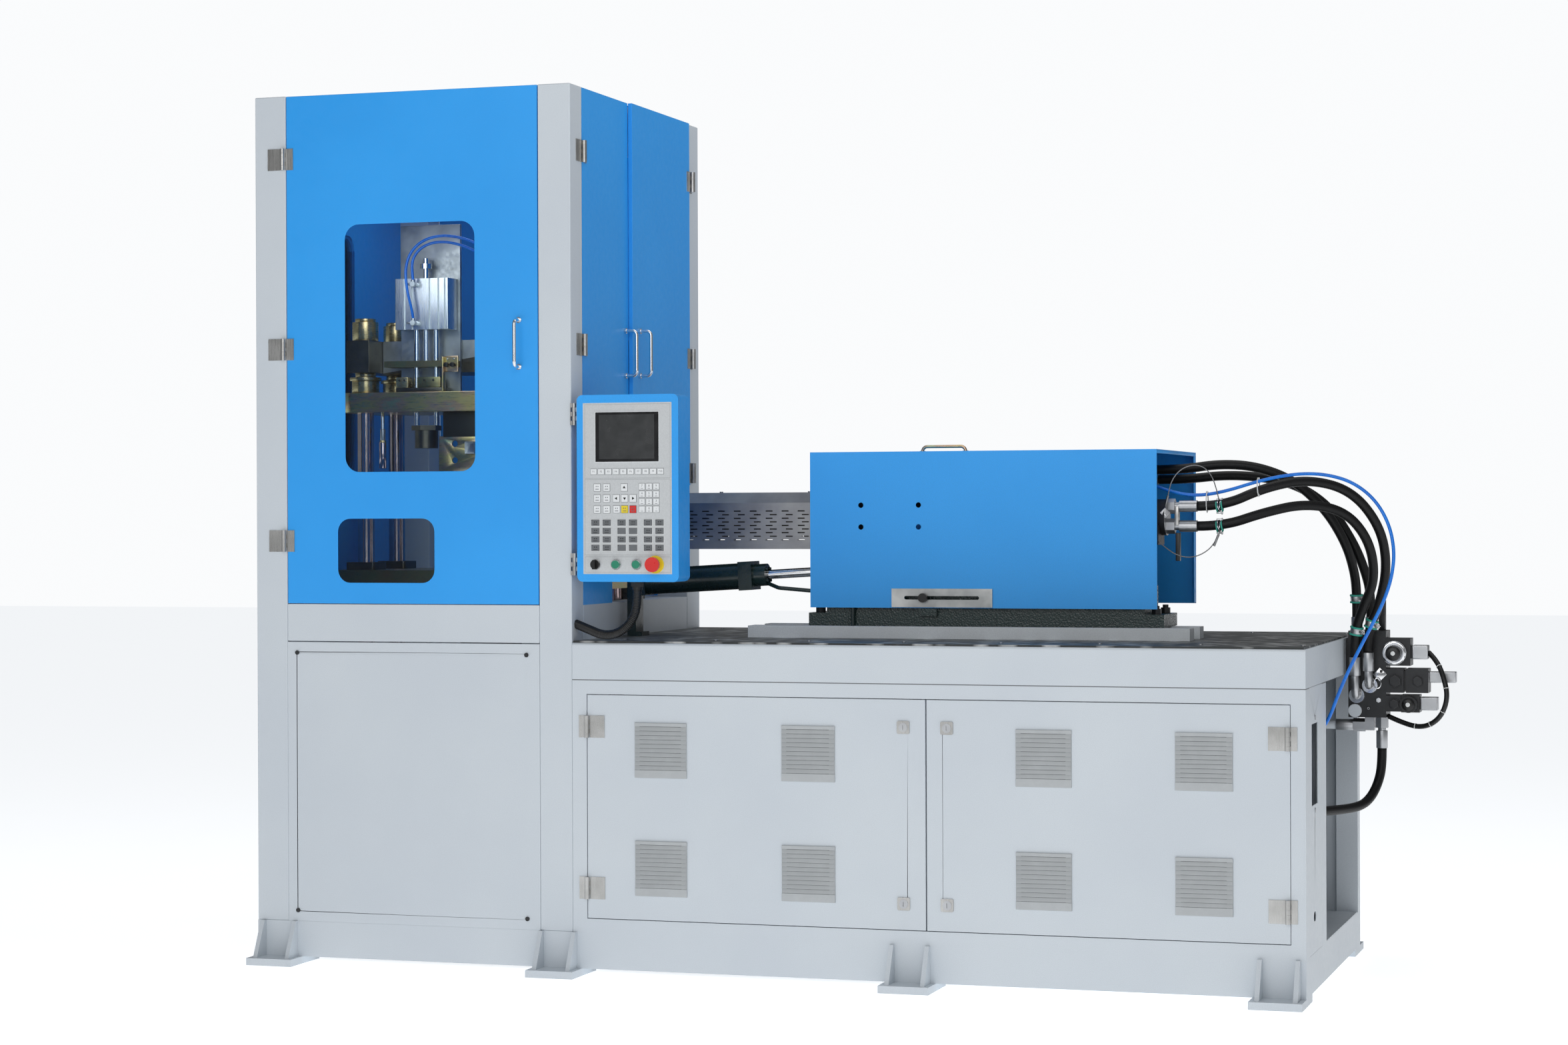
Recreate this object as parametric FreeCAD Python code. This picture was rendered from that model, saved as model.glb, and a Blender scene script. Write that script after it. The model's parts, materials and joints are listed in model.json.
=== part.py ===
import FreeCAD, Part
import math
import os

V = FreeCAD.Vector
os.makedirs("parts", exist_ok=True)

# ---------------------------------------------------------------- driving sizes, mm
# Built with X along the machine from the tower's left side, Y back from the front face, Z up from the floor.
# Tower
TOWER_W = 949.0
DEPTH = 1054.0
TOWER_H = 2427.0
COL_W = 95.0
COL_D = 88.0
WALL = 5.0
SHEET = 2.0
# Base cabinet
BASE_L = 2936.0
FOOT_T = 20.0
RAIL_TOP = 119.0
FRAME_TOP = 805.0
DECK_TOP = 910.0
DECK_T = 5.0
CROSS_LOW = 903.0
DOOR_LOW = 1006.0
# Feet
FOOT_OUT = 74.0
FOOT_IN = 106.0
FOOT_W = 137.0
RIB_T = 12.0
FOOT_X = [0.0, 838.0, 1830.0, 2799.0]
# Doors
DOOR_T = 18.0
DOOR_GAP = 2.0
WIN = (275.0, 1374.0, 666.0, 2062.0, 42.0)
LOW_WIN = (251.0, 1066.0, 543.0, 1244.0, 37.0)
SIDE_SPLIT = 448.0
SIDE_LOW = 1340.0
LAY_ON = 13.0
REAR_DOOR_END = 938.0
CAB_X = (TOWER_W + 42.0, 1943.0, BASE_L - 38.0)
CAB_Z = (156.0, 766.0)
# Hinges, handles and locks
HINGE_H = 60.0
KNUCKLE_R = 7.0
PIN_R = 3.5
LEAF_T = 2.0
HANDLE_L = 128.0
HANDLE_R = 5.0
LOCK_R = 12.0
LOCK_CASE = 34.0
# Vents
VENT = 148.5
VENT_X = (1130.5, 1546.0, 2184.7, 2602.7)
VENT_Z = (223.0, 542.0)
LOUVRES = 10
# Operator panel
PANEL_X = TOWER_W + 21.0
HMI_X = (PANEL_X, PANEL_X + 292.0)
HMI_Y = (-12.0, 78.0)
HMI_Z = (1071.0, 1577.0)
HMI_R = 16.0
FACE_X = (PANEL_X + 18.0, PANEL_X + 273.0)
FACE_Z = (1092.0, 1555.0)
FACE_T = 3.0
BUTTON_R = 11.0
STOP_R = 20.0
# Carriage
AXIS_Y = 460.0
AXIS_Z = 1240.0
RAIL_X = (1347.0, 2584.0)
RAIL_Y = ((318.0, 383.0), (470.0, 528.0))
RAIL_H = 33.5
BED_X = (1510.0, 2506.0)
BED_Y = (366.0, 555.0)
COVER_X = (1521.0, 2491.0)
COVER_Y = (346.0, 933.0)
COVER_Z = (994.0, 1423.0)
COVER_T = 2.5
GUARD_X = (985.0, 1600.0)
GUARD_Y = (380.0, 540.0)
GUARD_Z = (1155.0, 1284.0, 1313.0)
BARREL_R = 42.0
BAND_R = 52.0
SCREW_R = 15.0
# Seat cylinder
SEAT_Y = 389.0
SEAT_TILT = 3.35
SEAT_START = (1005.0, 1061.4)
SEAT_R = 36.5
ROD_R = 13.0
# Press in the tower
PRESS_C = (475.0, 557.0)
BAR_X = 350.0
BAR_Y = 107.0
BAR_R = 24.0
PLATEN_Z = (1040.0, 1094.0)
TABLE_Z = (1553.0, 1611.0)
BEAM_Z = (1670.0, 1764.0)
NUT_TOP = 1829.0
AIRCYL = (236.0, 405.0, 1793.0, 1941.0)
# Valve block
BLOCK_X = (BASE_L + 7.0, BASE_L + 110.0)
BLOCK_Y = (762.0, 862.0)
BLOCK_Z = (687.0, 925.0)
# Hoses
HOSE_R = 13.0
AIR_R = 4.5
CABLE_R = 7.0
WIRE_R = 1.5
CONDUIT_R = 12.5
# Clearances
RUN = 0.05
GAP = 0.3

MADE = {}


# ---------------------------------------------------------------- helpers
def box(x0, y0, z0, x1, y1, z1):
    return Part.makeBox(x1 - x0, y1 - y0, z1 - z0, V(x0, y0, z0))


def rod(x, y, z, r, length, way=(0, 0, 1)):
    return Part.makeCylinder(r, length, V(x, y, z), V(*way))


def cut(body, tools):
    return body.cut(tools) if tools else body


def fuse(pieces):
    whole = pieces[0].fuse(pieces[1:]) if len(pieces) > 1 else pieces[0]
    return whole.removeSplitter()


def mirror_x(shape, x=0.0):
    return shape.mirror(V(x, 0, 0), V(1, 0, 0))


def mirror_y(shape, y=0.0):
    return shape.mirror(V(0, y, 0), V(0, 1, 0))


def moved(shape, x=0.0, y=0.0, z=0.0):
    other = shape.copy()
    other.translate(V(x, y, z))
    return other


def turned(shape, angle, way=(0, 0, 1), at=(0, 0, 0)):
    other = shape.copy()
    other.rotate(V(*at), V(*way), angle)
    return other


def rounded_xz(x0, z0, x1, z1, r, y0, y1):
    """A plate in the XZ plane with its four corners rounded."""
    plate = box(x0, y0, z0, x1, y1, z1)
    edges = [e for e in plate.Edges if abs(e.Vertexes[0].Y - e.Vertexes[-1].Y) > 0.5 * (y1 - y0)]
    return plate.makeFillet(r, edges)


def rounded_xy(x0, y0, x1, y1, r, z0, z1):
    """A plate in the XY plane with its four corners rounded."""
    plate = box(x0, y0, z0, x1, y1, z1)
    edges = [e for e in plate.Edges if abs(e.Vertexes[0].Z - e.Vertexes[-1].Z) > 0.5 * (z1 - z0)]
    return plate.makeFillet(r, edges)


def tube_x(x0, y0, z0, x1, y1, z1, t=WALL):
    """A square tube along X, open at both ends."""
    return box(x0, y0, z0, x1, y1, z1).cut(box(x0 - 1, y0 + t, z0 + t, x1 + 1, y1 - t, z1 - t))


def tube_y(x0, y0, z0, x1, y1, z1, t=WALL):
    """A square tube along Y, open at both ends."""
    return box(x0, y0, z0, x1, y1, z1).cut(box(x0 + t, y0 - 1, z0 + t, x1 - t, y1 + 1, z1 - t))


def column(x0, y0, z0, x1, y1, z1, t=WALL):
    """A square tube standing up, closed at the top and open at the foot."""
    return box(x0, y0, z0, x1, y1, z1).cut(box(x0 + t, y0 + t, z0 - 1, x1 - t, y1 - t, z1 - t))


def tray_y(x0, z0, x1, z1, y0, y1, t=SHEET):
    """A sheet tray whose face looks towards -Y and whose edges are folded back."""
    return box(x0, y0, z0, x1, y1, z1).cut(box(x0 + t, y0 + t, z0 + t, x1 - t, y1 + 1, z1 - t))


def tray_x(y0, z0, y1, z1, x0, x1, t=SHEET):
    """A sheet tray whose face looks towards +X and whose edges are folded back."""
    return box(x0, y0, z0, x1, y1, z1).cut(box(x0 - 1, y0 + t, z0 + t, x1 - t, y1 - t, z1 - t))


def hexagon(x, y, z, flats, length, way="z"):
    """A hexagonal prism whose middle line starts at (x, y, z)."""
    r = flats / math.sqrt(3)
    pts = []
    for i in range(7):
        a = math.radians(60 * i + 30)
        u, v = r * math.cos(a), r * math.sin(a)
        pts.append({"z": V(x + u, y + v, z), "x": V(x, y + u, z + v), "y": V(x + u, y, z + v)}[way])
    face = Part.Face(Part.makePolygon(pts))
    step = {"z": V(0, 0, length), "x": V(length, 0, 0), "y": V(0, length, 0)}[way]
    return face.extrude(step)


def hinge(frame_len, door_len, h=HINGE_H):
    """Both halves of a butt hinge. The pin is the Z axis and the plane that both leaves lie on is y = KNUCKLE_R."""
    seg = h / 5
    side = KNUCKLE_R + 0.5
    frame = [box(-frame_len, KNUCKLE_R - LEAF_T, 0, -side, KNUCKLE_R, h), rod(0, 0, 0, PIN_R, h)]
    door = [box(side, KNUCKLE_R - LEAF_T, 0, door_len, KNUCKLE_R, h)]
    for i in range(5):
        z0, z1 = i * seg + GAP / 2, (i + 1) * seg - GAP / 2
        if i % 2 == 0:
            frame.append(rod(0, 0, z0, KNUCKLE_R, z1 - z0))
            frame.append(box(-side - 1, KNUCKLE_R - LEAF_T, z0, 0, KNUCKLE_R, z1))
        else:
            bore = rod(0, 0, z0 - 1, PIN_R + RUN, z1 - z0 + 2)
            door.append(rod(0, 0, z0, KNUCKLE_R, z1 - z0).cut(bore))
            door.append(box(0, KNUCKLE_R - LEAF_T, z0, side + 1, KNUCKLE_R, z1))
    return fuse(frame), fuse(door)


def bow_handle(length, out, r, foot_r):
    """A bow handle whose feet stand on the plane y = 0 and whose bar runs along Z at y = -out."""
    bend = 14.0
    pts = [V(0, 0, 0), V(0, -out, 0), V(0, -out, length), V(0, 0, length)]
    wire, least = rounded_wire([tuple(p) for p in pts], fixed=bend)
    bar = sweep(wire, r)
    feet = [rod(0, 0, z, foot_r, 6, (0, -1, 0)) for z in (0, length)]
    return fuse([bar] + feet)


def rounded_wire(points, fixed=None):
    """Straight runs through the points, joined by arcs that touch both runs. Returns the wire and its least radius."""
    pts = [V(*p) for p in points]
    edges = []
    last = pts[0]
    least = 1e9
    for i in range(1, len(pts) - 1):
        a, b, c = pts[i - 1], pts[i], pts[i + 1]
        back, on = (a - b), (c - b)
        l1, l2 = back.Length, on.Length
        back.normalize()
        on.normalize()
        half = (math.pi - back.getAngle(on)) / 2
        radius = fixed if fixed else 0.45 * min(l1, l2) / math.tan(half)
        reach = radius * math.tan(half)
        start, end = b + back * reach, b + on * reach
        inward = (back + on)
        inward.normalize()
        centre = b + inward * (radius / math.cos(half))
        mid = centre - inward * radius
        edges.append(Part.LineSegment(last, start).toShape())
        edges.append(Part.Arc(start, mid, end).toShape())
        last = end
        least = min(least, radius)
    edges.append(Part.LineSegment(last, pts[-1]).toShape())
    return Part.Wire(edges), least


def sweep(wire, r):
    """A round bar of radius r along the wire."""
    first = wire.Edges[0]
    start = first.valueAt(first.FirstParameter)
    way = first.tangentAt(first.FirstParameter)
    ring = Part.Wire([Part.makeCircle(r, start, way)])
    return wire.makePipeShell([ring], True, False)


def cord(name, points, r):
    """A plain tube node along the points, with its radii and length printed."""
    wire, least = rounded_wire(points)
    tube = sweep(wire, r)
    want = math.pi * r * r * wire.Length
    print("cord", name, "length", round(wire.Length, 1), "least radius", round(least, 1),
          "volume ratio", round(tube.Volume / want, 4))
    return tube


def node(name, pieces):
    shape = pieces if not isinstance(pieces, list) else Part.makeCompound(pieces)
    MADE[name] = shape


# ---------------------------------------------------------------- tower frame
right = TOWER_W
back = DEPTH
frame = []
for x0, x1 in ((0, COL_W), (right - COL_W, right)):
    frame.append(column(x0, 0, RAIL_TOP, x1, COL_D, TOWER_H))
frame.append(column(0, back - COL_D, RAIL_TOP, COL_W, back, TOWER_H))
REAR_COL_Y = REAR_DOOR_END + 3
frame.append(column(right - COL_W, REAR_COL_Y, RAIL_TOP, right, back, TOWER_H))
span = (COL_W, right - COL_W)
frame.append(tube_x(span[0], 0, CROSS_LOW, span[1], COL_D, DOOR_LOW))
frame.append(tube_x(span[0], back - COL_D, CROSS_LOW, span[1], back, DOOR_LOW))
BEAM_TOP = TOWER_H - 3
frame.append(tube_x(span[0], 30, BEAM_TOP - 80, span[1], COL_D, BEAM_TOP))
frame.append(tube_x(span[0], back - COL_D, BEAM_TOP - 80, span[1], back, BEAM_TOP))
frame.append(tube_y(0, COL_D, CROSS_LOW, 88, back - COL_D, DECK_TOP + 95))
frame.append(tube_y(right - 88, COL_D, CROSS_LOW, right, REAR_COL_Y, DECK_TOP + 95))
frame.append(tube_y(SHEET, COL_D, BEAM_TOP - 80, 70, back - COL_D, BEAM_TOP))
frame.append(tube_y(right - 90, COL_D, BEAM_TOP - 80, right - DOOR_T - 2, REAR_COL_Y, BEAM_TOP))
# lintel over the barrel opening, carrying the side doors' lower stop
frame.append(tube_y(right - 70, COL_D, SIDE_LOW - 2, right - DOOR_T - 2, REAR_COL_Y, SIDE_LOW + 40))
node("tower_frame", frame)

# ---------------------------------------------------------------- tower skin
wall_l = box(0, COL_D, DOOR_LOW - 1, SHEET, back - COL_D, BEAM_TOP)
wall_l = wall_l.cut(turned(rounded_xz(230, 1380, 620, 2080, 42, -3, 3), 90, (0, 0, 1)).translated(V(0, 0, 0)))
pane = turned(rounded_xz(222, 1372, 628, 2088, 42, -SHEET - 4, -SHEET), 90, (0, 0, 1))
roof = box(0, 30, BEAM_TOP, right - DOOR_T - 2, back, BEAM_TOP + 3)
for x0, x1 in ((0, COL_W), (right - COL_W, right)):
    roof = roof.cut(box(x0 - 1, 0, BEAM_TOP - 1, x1 + 1, COL_D + GAP, TOWER_H + 1))
roof = roof.cut(box(-1, back - COL_D - GAP, BEAM_TOP - 1, COL_W + 1, back + 1, TOWER_H + 1))
roof = roof.cut(box(right - COL_W - 1, REAR_COL_Y - GAP, BEAM_TOP - 1, right + 1, back + 1, TOWER_H + 1))
wall_b = box(span[0], back - SHEET, DOOR_LOW, span[1], back, BEAM_TOP - 80)
side_low = box(right - SHEET, COL_D, DECK_TOP + 95, right, 310, SIDE_LOW - 2)
node("tower_skin", [wall_l, pane, roof, wall_b, side_low])

# ---------------------------------------------------------------- base frame
base = []
CAP_T = 4.0
for y0, y1 in ((0, 80), (back - 80, back)):
    base.append(tube_x(CAP_T, y0, FOOT_T, BASE_L - CAP_T, y1, RAIL_TOP))
    for x0 in (0, BASE_L - CAP_T):
        base.append(box(x0, y0, FOOT_T, x0 + CAP_T, y1, RAIL_TOP))
for x0, x1 in ((0, 88), (TOWER_W - 59, TOWER_W + 21), (1840, 1920), (BASE_L - 88, BASE_L)):
    base.append(tube_y(x0, 80, FOOT_T, x1, back - 80, RAIL_TOP))
END_X = BASE_L - CAB_X[2]
cab_left = right + 0.5
posts = [(cab_left, CAB_X[0], 0, 60), (CAB_X[2], BASE_L, 0, 60), (1925, 1961, 26, 86)]
for x0, x1, y0, y1 in posts:
    base.append(column(x0, y0, RAIL_TOP, x1, y1, FRAME_TOP, 4))
for x0, x1 in ((cab_left, CAB_X[0]), (1925, 1961)):
    base.append(column(x0, back - 60, RAIL_TOP, x1, back, FRAME_TOP, 4))
END_POST = (291.0, 368.0)
BAY = (368.0, 1005.0)
base.append(column(BASE_L - 60, END_POST[0], RAIL_TOP, BASE_L, END_POST[1], FRAME_TOP, 4))
base.append(column(BASE_L - 60, BAY[1], RAIL_TOP, BASE_L, back, FRAME_TOP, 4))
base.append(box(CAB_X[0], 0, RAIL_TOP, CAB_X[2], 22, CAB_Z[0]))
base.append(box(CAB_X[0], 0, CAB_Z[1], CAB_X[2], 22, FRAME_TOP))
deck_z = DECK_TOP - DECK_T

def eased_lip(x0, x1, whole_):
    """The front deck beam, with its upper front edge eased. A whole one is the closing plate at its end."""
    beam_ = box(x0, 0, FRAME_TOP, x1, 80, deck_z) if whole_ else tube_x(x0, 0, FRAME_TOP, x1, 80, deck_z, 8)
    edge = [e for e in beam_.Edges if abs(e.CenterOfMass.y) < 0.01 and abs(e.CenterOfMass.z - deck_z) < 0.01]
    return beam_.makeFillet(7, edge)


base.append(eased_lip(cab_left, BASE_L - CAP_T, False))
base.append(eased_lip(BASE_L - CAP_T, BASE_L, True))
base.append(tube_x(cab_left, back - 80, FRAME_TOP, BASE_L - CAP_T, back, deck_z))
base.append(box(BASE_L - CAP_T, back - 80, FRAME_TOP, BASE_L, back, deck_z))
for x0, x1 in ((cab_left, cab_left + 80.5), (1900, 1980), (BASE_L - 80, BASE_L)):
    base.append(tube_y(x0, 80, FRAME_TOP, x1, back - 80, deck_z))

# ---------------------------------------------------------------- feet
feet = []
for x in FOOT_X:
    plate = box(x, -FOOT_OUT, 0, x + FOOT_W, FOOT_IN, FOOT_T)
    ribs = []
    for rx in (x + 14, x + FOOT_W - 14 - RIB_T):
        side = [V(rx, -60, FOOT_T), V(rx, 0, FOOT_T), V(rx, 0, RAIL_TOP), V(rx, -12, RAIL_TOP), V(rx, -60, FOOT_T)]
        ribs.append(Part.Face(Part.makePolygon(side)).extrude(V(RIB_T, 0, 0)))
    for piece in [plate] + ribs:
        feet.append(piece)
        feet.append(mirror_y(piece, back / 2))
node("base_frame", base + feet)

# ---------------------------------------------------------------- deck
deck = box(cab_left, 8, deck_z, BASE_L - 6, back - 6, DECK_TOP)
node("deck_plate", deck)

# ---------------------------------------------------------------- grey sheet panels
panels = []
PANEL_TOP = CROSS_LOW - 3
low = tray_y(COL_W, RAIL_TOP, right - COL_W, PANEL_TOP, 0, 20)
SCREWS = [(COL_W + 30, PANEL_TOP - 30), (right - COL_W - 38, PANEL_TOP - 30),
          (COL_W + 30, RAIL_TOP + 30), (right - COL_W - 38, RAIL_TOP + 30)]
SCREW_HOLE = 3.2
for x, z in SCREWS:
    low = low.cut(rod(x, -1, z, SCREW_HOLE, 4, (0, 1, 0)))
panels.append(low)
panels.append(mirror_y(tray_y(COL_W, RAIL_TOP, right - COL_W, PANEL_TOP, 0, 20), back / 2))
panels.append(box(0, COL_D, RAIL_TOP, SHEET, back - COL_D, CROSS_LOW))
end = box(BASE_L - 3, 60, RAIL_TOP, BASE_L, END_POST[0], FRAME_TOP)
end = end.cut(box(BASE_L - 5, 105, 500, BASE_L + 2, 215, 709))
hole = fuse([rod(BASE_L - 5, 148, 212, 12, 8, (1, 0, 0)), rod(BASE_L - 5, 166, 212, 12, 8, (1, 0, 0)),
             box(BASE_L - 5, 148, 200, BASE_L + 3, 166, 224)])
end = end.cut(hole)
END_SCREWS = [(160, 485), (160, 724)]
for y, z in END_SCREWS:
    end = end.cut(rod(BASE_L - 5, y, z, SCREW_HOLE, 8, (1, 0, 0)))
panels.append(end)
panels.append(box(CAB_X[0], back - SHEET, RAIL_TOP, BASE_L - 60, back, FRAME_TOP).cut(
    box(1925, back - 70, RAIL_TOP - 1, 1961, back + 1, FRAME_TOP + 1)))
panels.append(box(BASE_L - 90, BAY[1] + 20, RAIL_TOP, BASE_L - 60, BAY[1] + 22, 400))
bay_floor = box(2010, 80, RAIL_TOP, BASE_L, BAY[1] - 15, RAIL_TOP + 3)
bay_floor = bay_floor.cut(box(BASE_L - 60, END_POST[0], RAIL_TOP - 1, BASE_L + 1, END_POST[1], RAIL_TOP + 5))
panels.append(bay_floor.cut(box(BASE_L - 3, 60, RAIL_TOP - 1, BASE_L + 1, END_POST[0] + 1, RAIL_TOP + 5)))
node("grey_panels", panels)

# ---------------------------------------------------------------- screws of the fixed panels
heads = []
for x, z in SCREWS:
    heads.append(fuse([rod(x, 0, z, 6, 3, (0, -1, 0)), rod(x, 0, z, 3, 10, (0, 1, 0))]))
for y, z in END_SCREWS:
    heads.append(fuse([rod(BASE_L, y, z, 6, 3, (1, 0, 0)), rod(BASE_L, y, z, 3, 10, (-1, 0, 0))]))
for i in range(8):
    x = 1060 + 265 * i
    for y in (110, back - 110):
        heads.append(rod(x, y, DECK_TOP, 6, 2.5))
node("machine_screws", heads)

# ---------------------------------------------------------------- hinges
frame_leaves = []
FRONT_AXIS = (COL_W - KNUCKLE_R, -KNUCKLE_R)
FRONT_HZ = (1152.0, 1688.0, 2220.0)
f_long, d_short = hinge(48, 30)
front_leaves = []
for z in FRONT_HZ:
    frame_leaves.append(moved(f_long, FRONT_AXIS[0], FRONT_AXIS[1], z))
    front_leaves.append(moved(d_short, FRONT_AXIS[0], FRONT_AXIS[1], z))
# the side doors' hinges stand on the face x = TOWER_W
SIDE_AXIS = (right + KNUCKLE_R, COL_D + 1)
side_f = turned(f_long, 90)
side_d = turned(d_short, 90)
SIDE_HZ = (1346.0, 1689.0, 2220.0)
side_leaves = []
for z in SIDE_HZ:
    frame_leaves.append(moved(side_f, SIDE_AXIS[0], SIDE_AXIS[1], z))
    side_leaves.append(moved(side_d, SIDE_AXIS[0], SIDE_AXIS[1], z))
# the rear side door lies on the frame, so its frame leaf has a web down to the column
REAR_AXIS = (right + LAY_ON + KNUCKLE_R, REAR_DOOR_END + KNUCKLE_R + 4)
short_f, door_l = hinge(9, 36)
rear_f = mirror_y(turned(short_f, 90))
rear_d = mirror_y(turned(door_l, 90))
rear_leaves = []
for z in SIDE_HZ:
    arm = box(right, REAR_AXIS[1] + 7.4, z, REAR_AXIS[0] - 5, REAR_AXIS[1] + 9, z + HINGE_H)
    plate = box(right, REAR_AXIS[1] + 7.4, z, right + LEAF_T, REAR_AXIS[1] + 42, z + HINGE_H)
    frame_leaves.append(fuse([moved(rear_f, REAR_AXIS[0], REAR_AXIS[1], z), arm, plate]))
    rear_leaves.append(moved(rear_d, REAR_AXIS[0], REAR_AXIS[1], z))
# cabinet doors
CAB_AXIS_L = (CAB_X[0] + 2, -KNUCKLE_R)
CAB_AXIS_R = (CAB_X[2] - 7, -KNUCKLE_R)
CAB_HZ = (210.0, 648.0)
f_short, d_long = hinge(24, 50)
cab_leaves = {"l": [], "r": []}
for z in CAB_HZ:
    frame_leaves.append(moved(f_short, CAB_AXIS_L[0], CAB_AXIS_L[1], z))
    cab_leaves["l"].append(moved(d_long, CAB_AXIS_L[0], CAB_AXIS_L[1], z))
    frame_leaves.append(moved(mirror_x(f_short), CAB_AXIS_R[0], CAB_AXIS_R[1], z))
    cab_leaves["r"].append(moved(mirror_x(d_long), CAB_AXIS_R[0], CAB_AXIS_R[1], z))
# operator panel hinges stand edge on between the column's side and the panel's side
HMI_AXIS = (right + 11.0, -6.0)
HMI_HZ = (1088.0, 1496.0)
hmi_leaves = []
for z0 in HMI_HZ:
    seg = HINGE_H / 5
    fixed = [box(right, -8, z0, right + LEAF_T, 32, z0 + HINGE_H), rod(HMI_AXIS[0], HMI_AXIS[1], z0, 3, HINGE_H)]
    swing = [box(HMI_X[0] - LEAF_T, -8, z0, HMI_X[0], 32, z0 + HINGE_H)]
    for i in range(5):
        a, b = z0 + i * seg + GAP / 2, z0 + (i + 1) * seg - GAP / 2
        if i % 2 == 0:
            fixed.append(rod(HMI_AXIS[0], HMI_AXIS[1], a, 6, b - a))
            fixed.append(box(right, -8, a, HMI_AXIS[0] - 4, -6, b))
        else:
            bore = rod(HMI_AXIS[0], HMI_AXIS[1], a - 1, 3 + RUN, b - a + 2)
            swing.append(rod(HMI_AXIS[0], HMI_AXIS[1], a, 6, b - a).cut(bore))
            swing.append(box(HMI_AXIS[0] + 4, -8, a, HMI_X[0], -6, b))
    frame_leaves.append(fuse(fixed))
    hmi_leaves.append(fuse(swing))
node("hinge_frame_leaves", frame_leaves)

# ---------------------------------------------------------------- front door
fx0, fx1 = COL_W + DOOR_GAP, right - COL_W - DOOR_GAP
fz0, fz1 = DOOR_LOW + DOOR_GAP, TOWER_H - 1
door = tray_y(fx0, fz0, fx1, fz1, 0, 24)
for x0, z0, x1, z1, r in (WIN, LOW_WIN):
    door = door.cut(rounded_xz(x0, z0, x1, z1, r, -1, 10))
node("front_door", door)
panes = []
for x0, z0, x1, z1, r in (WIN, LOW_WIN):
    panes.append(rounded_xz(x0 - 12, z0 - 12, x1 + 12, z1 + 12, r, SHEET, SHEET + 4))
node("front_door_glazing", panes)
HANDLE_Z = 1657.0
pull = bow_handle(HANDLE_L, 36, HANDLE_R, 8)
node("front_door_fittings", front_leaves + [moved(pull, 798, 0, HANDLE_Z)])

# ---------------------------------------------------------------- side doors
sy0, sy1 = COL_D + DOOR_GAP, SIDE_SPLIT - DOOR_GAP
side = tray_x(sy0, SIDE_LOW, sy1, TOWER_H - 1, right - DOOR_T, right)
node("side_front_door", side)
pull_x = turned(pull, 90)
node("side_front_fittings", side_leaves + [moved(pull_x, right, 417, 1647)])
rear = tray_x(SIDE_SPLIT, SIDE_LOW, REAR_DOOR_END, TOWER_H - 1, right + GAP, right + LAY_ON)
node("side_rear_door", rear)
node("side_rear_fittings", rear_leaves + [moved(pull_x, right + LAY_ON, 500, 1650)])

# ---------------------------------------------------------------- operator panel
hx0, hx1 = HMI_X
hy0, hy1 = HMI_Y
hz0, hz1 = HMI_Z
shell = rounded_xz(hx0, hz0, hx1, hz1, HMI_R, hy0, hy1)
shell = shell.cut(rounded_xz(hx0 + 3, hz0 + 3, hx1 - 3, hz1 - 3, HMI_R - 3, hy0 + 6, hy1 - 2))
shell = shell.cut(box(FACE_X[0], hy0 - 1, FACE_Z[0], FACE_X[1], hy0 + FACE_T, FACE_Z[1]))
SWITCH_Z = 1118.0
SELECTOR_X = PANEL_X + 55.0
BUTTON_X = (PANEL_X + 114.0, PANEL_X + 173.0)
STOP_X = PANEL_X + 226.0
holes = [rod(x, hy0 - 2, SWITCH_Z, BUTTON_R + GAP, 12, (0, 1, 0)) for x in (SELECTOR_X,) + BUTTON_X + (STOP_X,)]
shell = shell.cut(holes)
GLAND = (PANEL_X + 158.0, 30.0)
gland = [hexagon(GLAND[0], GLAND[1], hz0 - 14, 30, 14), rod(GLAND[0], GLAND[1], hz0 - 22, CONDUIT_R + 1.5, 8)]
node("hmi_housing", [shell, fuse(gland)] + hmi_leaves)

face = box(FACE_X[0], hy0, FACE_Z[0], FACE_X[1], hy0 + FACE_T, FACE_Z[1]).cut(holes)
KEY_T = 1.2
face_pieces = [face]


def key(x, z, w, h):
    face_pieces.append(box(x - w / 2, hy0 - KEY_T, z - h / 2, x + w / 2, hy0, z + h / 2))


PITCH = 21.4
KEYS_X0 = PANEL_X + 49.0
for i in range(10):
    key(KEYS_X0 + PITCH * i, 1369, 17, 15)
for i in range(2):
    for j in range(3):
        key(PANEL_X + 59 + 27.2 * i, 1326 - 29.7 * j, 18.4, 19.3)
for x, z in ((137, 1326), (114, 1296.5), (138, 1296.5), (162, 1296.5), (115, 1267), (138, 1267), (162, 1267)):
    key(PANEL_X + x, z, 18.4, 19.3)
for i in range(3):
    for j in range(4):
        key(PANEL_X + 188 + 20.4 * i, 1328 - 20.4 * j, 16.5, 16.6)
for pair in range(3):
    for side_ in range(2):
        for j in range(4):
            key(PANEL_X + 53.4 + 75.7 * pair + 33 * side_, 1231 - 22.7 * j, 24, 17)
for x in (SELECTOR_X,) + BUTTON_X:
    face_pieces.append(rod(x, hy0, SWITCH_Z, 14.5, 6, (0, -1, 0)).cut(rod(x, hy0 + 1, SWITCH_Z, BUTTON_R + RUN, 8, (0, -1, 0))))
face_pieces.append(rod(STOP_X, hy0, SWITCH_Z, 24, 3, (0, -1, 0)).cut(
    rod(STOP_X, hy0 + 1, SWITCH_Z, BUTTON_R + RUN, 5, (0, -1, 0))))
node("hmi_face", face_pieces)
node("hmi_display", [box(PANEL_X + 53, hy0 - 1.5, 1394, PANEL_X + 238, hy0, 1531)])
grip = fuse([rod(SELECTOR_X, hy0 + 8, SWITCH_Z, BUTTON_R, 16, (0, -1, 0)),
             rod(SELECTOR_X, hy0 - 6.3, SWITCH_Z, 13, 5, (0, -1, 0)),
             box(SELECTOR_X - 4, hy0 - 22, SWITCH_Z - 13, SELECTOR_X + 4, hy0 - 6.3, SWITCH_Z + 12)])
node("hmi_selector", grip)
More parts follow.
